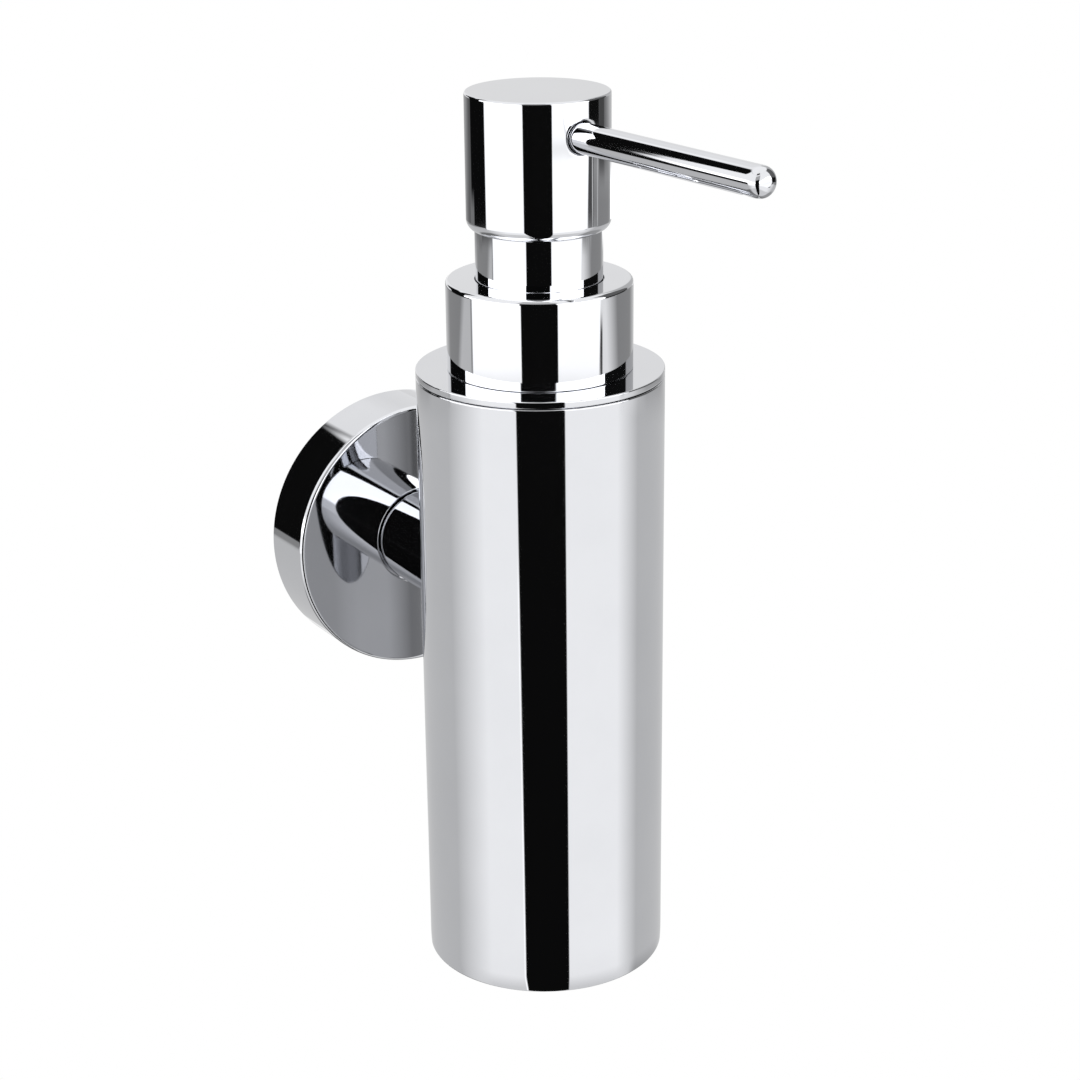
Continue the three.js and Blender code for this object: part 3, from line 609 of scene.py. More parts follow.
@dataclass(frozen=True)
class Finish:
    """A surface finish whose colour, sheen and relief vary as the real one's do.

    Attributes:
        slot: The material slot that it is for.
        deep: Its colour in the low places.
        bright: Its colour in the high places.
        metal: How metallic it is.
        sheen: The least and most roughness.
        grain: The relief's waves in a metre.
        relief: The relief's depth in metres.
        patches: The waves in a metre of the patches that its colour and sheen vary in.
    """

    slot: Slot
    deep: Triple
    bright: Triple
    metal: float
    sheen: Pair
    grain: float
    relief: float
    patches: float = 55.0

    def pattern(self, tree: Tree, place: Socket) -> tuple[Socket, Socket]:
        """Gives the patch tone and the relief, from 0 to 1, of a place on the surface."""
        patch = tree.noise(place, self.patches, detail=4.0, roughness=0.6)
        return patch, tree.noise(place, self.grain, detail=2.0)

    def extras(self, shader: bpy.types.Node) -> None:
        """Sets what only some finishes have."""

    def material(self) -> bpy.types.Material:
        """Builds the material.

        With the patches the tone runs from deep to bright and the roughness from most to least,
        and the relief is a bump of the given depth.

        Returns:
            The material.
        """
        made = bpy.data.materials.new(f"dispenser_{self.slot.value}")
        tree = Tree(made)
        place = tree.node("ShaderNodeTexCoord").outputs["Object"]
        patch, relief = self.pattern(tree, place)
        share = tree.ramp(patch, *NOISE_BAND)
        tone = tree.node("ShaderNodeMix", {"data_type": "RGBA"}, in_0=share,
                         in_6=(*self.deep, 1.0), in_7=(*self.bright, 1.0)).outputs[2]
        roughness = tree.ramp(patch, *NOISE_BAND, self.sheen[1], self.sheen[0])
        bump = tree.node("ShaderNodeBump", Strength=1.0, Distance=self.relief, Height=relief)
        shader = tree.node("ShaderNodeBsdfPrincipled", Base_Color=tone, Metallic=self.metal,
                           Roughness=roughness, Normal=bump.outputs[0])
        self.extras(shader)
        tree.node("ShaderNodeOutputMaterial", Surface=shader.outputs[0])
        return made


@dataclass(frozen=True)
class ChromeFinish(Finish):
    """Chrome plate: a mirror with faint wiping haze and the slow waves of a polished face."""

    slot: Slot = Slot.CHROME
    deep: Triple = (0.625, 0.632, 0.655)
    bright: Triple = (0.645, 0.652, 0.675)
    metal: float = 1.0
    sheen: Pair = (0.018, 0.045)
    grain: float = 90.0
    relief: float = 2e-6


@dataclass(frozen=True)
class ZincFinish(Finish):
    """Bright zinc on a pressing: grey spangle in large and small patches.

    Attributes:
        cells: The spangle's cells in a metre.
        cell_share: How much of the tone is the cells', and not the grain's.
    """

    slot: Slot = Slot.ZINC
    deep: Triple = (0.28, 0.29, 0.305)
    bright: Triple = (0.47, 0.48, 0.49)
    metal: float = 0.9
    sheen: Pair = (0.36, 0.55)
    grain: float = 900.0
    relief: float = 1.5e-5
    cells: float = 420.0
    cell_share: float = 0.6

    def pattern(self, tree: Tree, place: Socket) -> tuple[Socket, Socket]:
        """Gives the spangle's cells, mixed with a fine grain, and the grain as relief.

        Args:
            tree: The material's tree.
            place: The place on the surface.

        Returns:
            The tone and the relief.
        """
        cells = tree.node("ShaderNodeTexVoronoi", Vector=place, Scale=self.cells).outputs["Color"]
        grain = tree.noise(place, self.grain)
        tone = tree.maths("ADD", tree.maths("MULTIPLY", cells, self.cell_share),
                          tree.maths("MULTIPLY", grain, 1.0 - self.cell_share))
        return tone, grain


@dataclass(frozen=True)
class SteelFinish(Finish):
    """Bright turned steel: satin, with fine tool marks."""

    slot: Slot = Slot.STEEL
    deep: Triple = (0.42, 0.43, 0.44)
    bright: Triple = (0.6, 0.61, 0.62)
    metal: float = 1.0
    sheen: Pair = (0.2, 0.36)
    grain: float = 2600.0
    relief: float = 6e-6


@dataclass(frozen=True)
class BottleFinish(Finish):
    """Blown plastic, milky, with slow waves in its wall and a soft gloss.

    Attributes:
        glow: How much light goes into the wall.
        glow_reach: How far red, green and blue light go in it, in metres.
    """

    slot: Slot = Slot.BOTTLE
    deep: Triple = (0.76, 0.785, 0.77)
    bright: Triple = (0.83, 0.85, 0.835)
    metal: float = 0.0
    sheen: Pair = (0.34, 0.46)
    grain: float = 160.0
    relief: float = 4e-5
    glow: float = 0.25
    glow_reach: Triple = (0.004, 0.004, 0.0035)

    def extras(self, shader: bpy.types.Node) -> None:
        """Lets light glow a little way into the wall.

        Args:
            shader: The finish's shader.
        """
        shader.inputs["Subsurface Weight"].default_value = self.glow
        shader.inputs["Subsurface Radius"].default_value = self.glow_reach
        shader.inputs["Subsurface Scale"].default_value = 1.0


@dataclass(frozen=True)
class MouldedFinish(Finish):
    """Injection-moulded white plastic with a fine spark-eroded skin."""

    slot: Slot = Slot.PUMP
    deep: Triple = (0.87, 0.87, 0.845)
    bright: Triple = (0.92, 0.92, 0.9)
    metal: float = 0.0
    sheen: Pair = (0.24, 0.34)
    grain: float = 3200.0
    relief: float = 5e-6


@dataclass(frozen=True)
class RubberFinish(Finish):
    """Black moulded rubber with a dusty bloom."""

    slot: Slot = Slot.RUBBER
    deep: Triple = (0.012, 0.012, 0.013)
    bright: Triple = (0.035, 0.036, 0.038)
    metal: float = 0.0
    sheen: Pair = (0.62, 0.85)
    grain: float = 1800.0
    relief: float = 1.5e-5


NODE_SLOTS: dict[Slot, tuple[str, ...]] = {
    Slot.ZINC: ("wall_plate",),
    Slot.STEEL: ("saddle_washer",),
    Slot.PUMP: ("head_insert",),
}


def stood(name: str, data: bpy.types.ID) -> bpy.types.Object:
    """Makes an object of the data at the origin and links it into the scene.

    Args:
        name: The object's name.
        data: Its mesh, lamp or camera.

    Returns:
        The object.
    """
    made = bpy.data.objects.new(name, data)
    bpy.context.scene.collection.objects.link(made)
    return made


class Workshop:
    """Dresses finished surfaces as pieces of the row, and the CAD nodes that stay."""

    def __init__(self) -> None:
        """Builds the finishes."""
        finishes = (ChromeFinish(), ZincFinish(), SteelFinish(), BottleFinish(),
                    MouldedFinish(), RubberFinish())
        self.materials = {finish.slot: finish.material() for finish in finishes}

    def piece(self, name: str, skin: Skin, body: Body, slot: Slot, *nodes: str) -> bpy.types.Object:
        """Makes a piece that rides on a body and stands for CAD nodes.

        Args:
            name: The piece's name.
            skin: Its surface.
            body: The body that it rides on.
            slot: The slot that its finish is for.
            *nodes: The CAD nodes that it stands for.

        Returns:
            The piece.
        """
        made = stood(name, skin.mesh(name))
        made.data.materials.append(self.materials[slot])
        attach(made, body.value)
        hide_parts(*nodes)
        made.data.calc_loop_triangles()
        log.info("%s: %d triangles on %s", name, len(made.data.loop_triangles), body.value)
        return made

    def dress_nodes(self) -> None:
        """Gives the finish of its slot to every CAD node that shows."""
        for slot, names in NODE_SLOTS.items():
            for name in names:
                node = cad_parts[name]
                if node.hide_render:
                    continue
                node.data.materials.clear()
                node.data.materials.append(self.materials[slot])
                log.info("%s keeps its CAD form", name)


# ---------------------------------------------------------------- studio

@dataclass(frozen=True)
class StudioCard:
    """A soft card or flag that only a mirror sees.

    Angles are in degrees: across is to the right of the camera as seen from the bottle, up is
    above the horizon. An edge of None is open.

    Attributes:
        across: Its left and right edges, where they cross the horizon.
        up: Its lower and upper edges.
        level: How bright it is.
        side_fade: How wide its left and right edges fade.
        end_fade: How far its lower and upper edges fade.
        lean: How far its left and right edges move for each degree up.
    """

    across: tuple[float | None, float | None]
    up: tuple[float | None, float | None]
    level: float
    side_fade: Pair = (1.0, 1.0)
    end_fade: Pair = (1.0, 1.0)
    lean: Pair = (0.0, 0.0)

    def mask(self, tree: Tree, across: Socket, up: Socket) -> Socket:
        """Gives 1 on the card and 0 off it, as the product of its edges' ramps.

        Args:
            tree: The world's tree.
            across: A ray's angle to the right.
            up: Its angle above the horizon.

        Returns:
            The mask.
        """
        shares = []
        for i, sign in enumerate((1.0, -1.0)):
            line = across
            if self.lean[i]:
                line = tree.maths("SUBTRACT", across, tree.maths("MULTIPLY", up, self.lean[i]))
            for angle, edge, fade in ((line, self.across[i], self.side_fade[i]),
                                      (up, self.up[i], self.end_fade[i])):
                if edge is not None:
                    half = 0.5 * sign * fade
                    shares.append(tree.ramp(angle, edge - half, edge + half))
        result = shares[0]
        for share in shares[1:]:
            result = tree.maths("MULTIPLY", result, share)
        return result


@dataclass(frozen=True)
class Studio:
    """Plain soft light, the cards that give the chrome its form, a pale floor and the camera.

    Attributes:
        distance: From the bottle's axis to the camera, level.
        height: The camera's height over the arm's axis.
        heading: The camera's angle round the bottle, in degrees.
        look: The camera's turn, tilt and roll in degrees.
        lens: Its focal length in millimetres.
        sensor: Its sensor's width in millimetres.
        nearest: What is nearer than this isn't seen, in metres.
        floor_drop: How far the floor is under the arm.
        floor_reach: How far it reaches to each side, in metres.
        floor_lines: How many lines its grid has each way.
        floor_colour: Its colour.
        lamp_size: The lamp's width in metres.
        lamp_power: Its power in watts.
        lamp_way: Its turn and tilt in degrees from straight overhead.
        lamp_distance: How far away it hangs, in metres.
        plain_light: The light's plain level.
        mirror_gain: How much brighter the cards are than they look in chrome.
        bare_level: How bright chrome looks where it shows no card.
        cards: The cards, each over the ones before it, with levels as they look in chrome.
        single_top: The most that one mirror shows of what is over the horizon, so that flat tops
            stand out from white.
        single_rise: The angles up between which that comes in.
        single_cards: Cards over the others that are seen in one mirror only.
        later_cards: Cards over the others that are seen from the second mirror on.
    """

    distance: float = 479.15
    height: float = 191.75
    heading: float = -31.967
    look: Triple = (-31.921, 20.317, -0.574)
    lens: float = 82.9
    sensor: float = 36.0
    nearest: float = 0.01
    floor_drop: float = 900.0
    floor_reach: float = 3.0
    floor_lines: int = 7
    floor_colour: Four = (0.86, 0.86, 0.87, 1.0)
    lamp_size: float = 0.9
    lamp_power: float = 3.0
    lamp_way: Pair = (-75.0, 40.0)
    lamp_distance: float = 1.3
    plain_light: float = 0.92
    mirror_gain: float = 1.56
    bare_level: float = 0.7
    cards: tuple[StudioCard, ...] = (
        # all round: a grey low part, a darker step over it, and a pale top
        StudioCard((None, None), (None, -17.2), 0.43, end_fade=(1, 1.6)),
        StudioCard((None, None), (-17.2, -8.6), 0.205, end_fade=(1.6, 8)),
        StudioCard((152, None), (-17.2, -9), 0.4, side_fade=(16, 1), end_fade=(1, 4)),
        StudioCard((None, -152), (-17.2, -13.4), 0.4, side_fade=(1, 16)),
        StudioCard((None, -156), (-13.4, -9), 0.27, side_fade=(1, 16)),
        StudioCard((-150, -118), (-13.3, -9), 0.09, side_fade=(24, 2), end_fade=(0.5, 2)),
        StudioCard((131, 172), (-6, 42), 0.39, side_fade=(3, 6), end_fade=(4, 6)),
        StudioCard((None, None), (42, None), 0.8, end_fade=(8, 1)),
        StudioCard((None, None), (54, None), 2.4, end_fade=(6, 1)),
        StudioCard((None, None), (None, -36.5), 0.14, end_fade=(1, 4)),
        # pale strips low behind the bottle
        StudioCard((170.5, None), (None, -18.8), 0.5, side_fade=(3, 1)),
        StudioCard((-176, -166.5), (-36, -26), 0.62, side_fade=(1, 2), end_fade=(1, 2)),
        StudioCard((156, None), (-13.4, -11.8), 1.0, side_fade=(3, 1), end_fade=(0.6, 0.6)),
        # what the neck and the collar see at the sides
        StudioCard((80, 61.2), (-17, -13.3), 0.7, side_fade=(1, 22), lean=(0, -2.5)),
        StudioCard((-12, -90), (-17, -13.5), 0.44, side_fade=(9, 1), end_fade=(1, 0.3),
                   lean=(6.5, 0)),
        # black flags beside the panels, with thin lines of light in the right one
        StudioCard((-134, -88), (-13.35, 5), 0.003, side_fade=(3, 1), end_fade=(0.5, 1),
                   lean=(-0.22, 0)),
        StudioCard((-136, -122.5), (-13.6, -12.5), 0.15, end_fade=(0.3, 0.5)),
        StudioCard((-151.8, -88), (3, 46), 0.003, side_fade=(3, 1), end_fade=(2, 6), lean=(0.3, 0)),
        StudioCard((110.5, 136), (-11.8, -7), 0.075, side_fade=(1, 28), end_fade=(0.5, 2)),
        StudioCard((84.5, 97), (-13.3, -11.2), 0.06),
        StudioCard((85.5, 110.5), (-11.3, -5), 0.004, side_fade=(1, 1.5)),
        StudioCard((110.5, 127), (-11.8, -5), 0.055, side_fade=(1, 6)),
        StudioCard((85.5, 132), (-7, 46), 0.005, side_fade=(1, 3), end_fade=(3, 6)),
        StudioCard((127.5, 129.5), (-11.8, -6), 0.16, side_fade=(0.8, 0.8)),
        StudioCard((93, 95.5), (-13.2, -11.3), 0.45, side_fade=(0.8, 0.8)),
        StudioCard((105, 107.5), (-13.4, -11.3), 0.4, side_fade=(0.8, 0.8)),
        # light from below that fades to the sides
        StudioCard((-75, -20), (None, -16.6), 0.81, side_fade=(40, 1)),
        StudioCard((20, 88), (None, -16.6), 0.81, side_fade=(1, 26)),
        StudioCard((-75, -20), (None, -32.6), 0.57, side_fade=(40, 1), end_fade=(1, 6)),
        StudioCard((20, 88), (None, -32.6), 0.57, side_fade=(1, 26), end_fade=(1, 6)),
        StudioCard((98, 152), (None, -32), 0.27, side_fade=(12, 12), end_fade=(1, 5)),
        # the two large panels, brightest over the horizon
        StudioCard((-95.5, -20), (-16.8, -3.5), 1.02, side_fade=(1.2, 1), end_fade=(0.8, 1),
                   lean=(-0.31, 0)),
        StudioCard((-102.3, -20), (-4.5, 12.5), 2.4, side_fade=(1.2, 1), end_fade=(3, 1),
                   lean=(-0.1, 0)),
        StudioCard((-99.3, -20), (12, 44), 2.4, side_fade=(1.2, 1), end_fade=(1, 6),
                   lean=(-0.35, 0)),
        StudioCard((20, 105.4), (-16.8, -11.4), 1.02, side_fade=(1, 1.6), end_fade=(0.8, 0.5),
                   lean=(0, 1.7)),
        StudioCard((20, 86), (-11.4, -3), 1.02, side_fade=(1, 1.2), end_fade=(0.5, 1)),
        StudioCard((20, 86), (-4.5, 44), 2.4, side_fade=(1, 1.2), end_fade=(3, 6)),
        # lines in their edges, a strip over the left flag, and the dark gap between them
        StudioCard((79.3, 82.6), (-16.8, -15.3), 0.05, side_fade=(0.8, 0.8), end_fade=(0.5, 0.5)),
        StudioCard((-93.5, -91), (-16.8, -13.4), 0.24, side_fade=(0.8, 0.8)),
        StudioCard((-103.1, -90.6), (31, 42), 1.05, side_fade=(2, 2), lean=(-1.2, -1.2)),
        StudioCard((-27.7, -24.0), (None, -21), 1.0, side_fade=(0.6, 0.6), lean=(-0.22, -0.22)),
        StudioCard((-26.2, 20.9), (None, -8.5), 0.003, side_fade=(0.9, 0.9), end_fade=(1, 1),
                   lean=(-0.22, -0.07)),
        StudioCard((-24.5, 20.6), (-9.0, 39), 0.003, side_fade=(2, 1.5), end_fade=(1, 5),
                   lean=(0, -0.12)),
        StudioCard((-32, 18), (50, None), 0.02, side_fade=(4, 4), end_fade=(4, 4)),
    )
    single_top: float = 0.84
    single_rise: Pair = (2.0, 6.0)
    single_cards: tuple[StudioCard, ...] = (
        # a softer gap, top and right flag
        StudioCard((-28, 22), (16, 41), 0.36, side_fade=(4, 4), end_fade=(4, 6)),
        StudioCard((-32, 18), (62, None), 0.8, side_fade=(4, 4), end_fade=(4, 4)),
        StudioCard((85.5, 132), (0, 46), 0.1, side_fade=(1, 3), end_fade=(3, 6)),
        # behind the bottle, what the flat tops show: a shade darker than what is round them
        StudioCard((None, -165), (5, 12.2), 0.575, side_fade=(1, 6), end_fade=(3, 1)),
        StudioCard((165, None), (5, 12.2), 0.575, side_fade=(6, 1), end_fade=(3, 1)),
        StudioCard((None, -165), (12.2, 26), 0.625, side_fade=(1, 6), end_fade=(1, 8)),
        StudioCard((165, None), (12.2, 26), 0.625, side_fade=(6, 1), end_fade=(1, 8)),
    )
    later_cards: tuple[StudioCard, ...] = (
        # what the flange's face shows of the bottle's back
        StudioCard((None, -158), (None, -16), 0.45, side_fade=(1, 6)),
        StudioCard((158, None), (None, -16), 0.45, side_fade=(6, 1)),
        StudioCard((-144, -104), (None, -16), 0.365, side_fade=(16, 8)),
        StudioCard((86, 138), (None, -16), 0.21, side_fade=(2, 36)),
        StudioCard((86, 108), (-20.5, -16), 0.11, side_fade=(2, 10), end_fade=(2, 1)),
    )

    def lay(self, tree: Tree, level: object, cards: Sequence[StudioCard],
            way: tuple[Socket, Socket], when: Socket | None = None) -> object:
        """Lays cards over a level, one after another.

        Args:
            tree: The world's tree.
            level: What a mirror sees without them.
            cards: The cards.
            way: A ray's angles across and up.
            when: 1 where they are seen and 0 where they aren't, or None for everywhere.

        Returns:
            What a mirror sees with them.
        """
        for card in cards:
            mask = card.mask(tree, *way)
            if when is not None:
                mask = tree.maths("MULTIPLY", when, mask)
            level = tree.mix(mask, level, card.level * self.mirror_gain)
        return level

    def world(self) -> None:
        """Builds the world's light.

        A ray that only carries light finds one plain level. A mirror's ray finds the cards, by
        its angle across, the arc tangent of x over -y once turned to the camera, and its angle
        up, the arc sine of z. After one mirror only, what is over the horizon has a top level and
        cards of its own. The camera finds white.
        """
        studio = bpy.data.worlds.new("studio")
        bpy.context.scene.world = studio
        tree = Tree(studio)
        ray = tree.node("ShaderNodeTexCoord").outputs["Generated"]
        to_camera = (0.0, 0.0, -np.radians(self.heading))
        ray = tree.node("ShaderNodeMapping", Vector=ray, Rotation=to_camera).outputs[0]
        x, y, z = tree.node("ShaderNodeSeparateXYZ", Vector=ray).outputs
        degrees = float(np.degrees(1.0))
        across = tree.maths("ARCTAN2", x, tree.maths("MULTIPLY", y, -1.0))
        across = tree.maths("MULTIPLY", across, degrees)
        up = tree.maths("MULTIPLY", tree.maths("ARCSINE", z), degrees)
        way = (across, up)
        path = tree.node("ShaderNodeLightPath").outputs
        level = self.lay(tree, self.bare_level * self.mirror_gain, self.cards, way)
        single = tree.maths("LESS_THAN", path["Glossy Depth"], FIRST_MIRROR)
        later = tree.maths("SUBTRACT", 1.0, single)
        over = tree.maths("MULTIPLY", single, tree.ramp(up, *self.single_rise))
        calm = tree.maths("MINIMUM", level, self.single_top * self.mirror_gain)
        level = tree.mix(over, level, calm)
        level = self.lay(tree, level, self.single_cards, way, single)
        level = self.lay(tree, level, self.later_cards, way, later)
        mirrored = tree.mix_shaders(path["Is Glossy Ray"], tree.glow(WHITE, self.plain_light),
                                    tree.glow(level, 1.0))
        direct = tree.maths("MAXIMUM", path["Is Camera Ray"], path["Is Transmission Ray"])
        shown = tree.mix_shaders(direct, mirrored, tree.glow(WHITE, 1.0))
        tree.node("ShaderNodeOutputWorld", Surface=shown)

    def floor(self) -> None:
        """Lays a pale floor far under the dispenser, a flat grid out of a mirror's sight."""
        side = np.linspace(-self.floor_reach, self.floor_reach, self.floor_lines)
        x, y = np.meshgrid(side, side)
        grid = np.stack([x, y, np.full_like(x, -self.floor_drop * MM)], axis=-1)
        quads = quads_of(np.arange(x.size).reshape(x.shape)).reshape(-1, 4)
        mesh = bpy.data.meshes.new("floor")
        mesh.from_pydata(grid.reshape(-1, 3).tolist(), [], quads.tolist())
        floor = stood("floor", mesh)
        floor.visible_glossy = False
        made = bpy.data.materials.new("pale_floor")
        tree = Tree(made)
        matt = tree.node("ShaderNodeBsdfDiffuse", Color=self.floor_colour).outputs[0]
        white = tree.node("ShaderNodeEmission", Color=WHITE, Strength=1.0).outputs[0]
        seen = tree.node("ShaderNodeLightPath").outputs["Is Camera Ray"]
        tree.node("ShaderNodeOutputMaterial", Surface=tree.mix_shaders(seen, matt, white))
        mesh.materials.append(made)

    def lamp(self) -> None:
        """Hangs one large soft lamp up and to the left, out of a mirror's sight."""
        light = bpy.data.lights.new("soft_lamp", "AREA")
        light.shape = "DISK"
        light.size = self.lamp_size
        light.energy = self.lamp_power
        lamp = stood("soft_lamp", light)
        turn, tilt = (float(np.radians(angle)) for angle in self.lamp_way)
        lamp.matrix_world = (
            Matrix.Rotation(turn, 4, "Z")
            @ Matrix.Rotation(tilt, 4, "X")
            @ Matrix.Translation((0.0, 0.0, self.lamp_distance))
        )
        lamp.visible_glossy = False

    def camera(self) -> None:
        """Stands the camera where the photograph was taken from."""
        made = bpy.data.cameras.new("camera")
        made.lens = self.lens
        made.sensor_width = self.sensor
        made.clip_start = self.nearest
        camera = stood("camera", made)
        heading = np.radians(self.heading)
        place = np.array([np.sin(heading), -np.cos(heading), 0.0]) * self.distance
        place += np.array([0.0, -STANDOFF, self.height])
        turn, tilt, roll = (float(np.radians(angle)) for angle in self.look)
        camera.matrix_world = (
            Matrix.Translation(place * MM)
            @ Matrix.Rotation(turn, 4, "Z")
            @ Matrix.Rotation(np.pi / 2 - tilt, 4, "X")
            @ Matrix.Rotation(roll, 4, "Z")
        )
        bpy.context.scene.camera = camera

    def build(self) -> None:
        """Builds the light, the floor, the lamp and the camera."""
        bpy.context.scene.view_settings.view_transform = "Standard"
        self.world()
        self.floor()
        self.lamp()
        self.camera()


# ---------------------------------------------------------------- sub-assemblies

BOTTLE_SEAT = Seat((0.0, -STANDOFF, 0.0), ((1.0, 0.0, 0.0), (0.0, 1.0, 0.0), (0.0, 0.0, 1.0)))
WALL_SEAT = Seat((0.0, 0.0, 0.0), ((1.0, 0.0, 0.0), (0.0, 0.0, 1.0), (0.0, -1.0, 0.0)))
ARM_BOLT_SEAT = Seat((0.0, -9.3, 0.0), WALL_SEAT.axes)
SHELL_BOLT_SEAT = Seat((0.0, -42.05, 0.0), ((1.0, 0.0, 0.0), (0.0, 0.0, -1.0), (0.0, 1.0, 0.0)))
GRUB_SEAT = Seat((0.0, -3.5, 0.0), ((1.0, 0.0, 0.0), (0.0, -1.0, 0.0), (0.0, 0.0, -1.0)))


def ring(outline: Array, facing: Facing, seat: Seat = BOTTLE_SEAT) -> Skin:
    """Turns a closed outline once round a seat's Z."""
    return Skin(seat).add(turned(outline, facing.value), wrap_rows=True)


def flat_ring(size: Four, edges: Four, seat: Seat = BOTTLE_SEAT) -> Skin:
    """Turns a flat ring round a seat's Z.

    Args:
        size: Its bore, rim, underside and top.
        edges: The rounding of its lower and upper edges, from the lower one at the bore round
            to the upper one at the bore.
        seat: Where it lies.

    Returns:
        The ring's surface.
    """
    bore, rim, low, high = size
    corners = ((bore, low), (rim, low), (rim, high), (bore, high))
    outline = rounded(*((*corner, edge) for corner, edge in zip(corners, edges)))
    return ring(outline, Facing.INNER, seat)


@dataclass(frozen=True)
class Bolt:
    """A round-headed screw with a hexagon socket; its head is under its seat's zero.

    Attributes:
        radius: The thread's outer radius.
        head: The head's radius and height.
        reach: How far the shank reaches from the head.
        socket: The socket's width across flats, and its depth.
        pitch: The thread's pitch.
        depth: The thread's depth, in pitches.
        widths: How wide the thread is at its root and at its crest, in pitches.
        start: How far it starts from the head, in pitches.
        crest_edge: The rounding of its crest.
    """

    radius: float
    head: Pair
    reach: float
    socket: Pair
    pitch: float
    depth: float = 0.45
    widths: Pair = (0.86, 0.16)
    start: float = 0.8
    crest_edge: float = 0.03

    def skin(self, seat: Seat) -> Skin:
        """Turns the screw with its socket and winds its thread on a thinner core.

        Args:
            seat: Where it lies.

        Returns:
            The screw's surface.
        """
        head, high = self.head
        half, floor = 0.5 * self.socket[0], self.socket[1] - high
        depth, tip = self.depth * self.pitch, 0.5 * self.radius
        core, point = self.radius - depth, self.reach - tip
        outline = rounded(
            (0.0, floor), (half, floor), (half, -high), (head, -high, 0.5 * high),
            (head, 0.0, 0.12), (core, 0.0), (core, point), (tip, self.reach, 0.2),
            (0.0, self.reach), closed=False)
        skin = Skin(seat).add(hexed(outline, half, Facing.SMALL.value))
        laps = (point - self.pitch) / self.pitch - 0.5
        widths = (self.widths[0] * self.pitch, self.widths[1] * self.pitch)
        return Thread(root=core, depth=depth, start=self.start * self.pitch, laps=laps,
                      pitch=self.pitch, widths=widths, crest_edge=self.crest_edge).onto(skin)


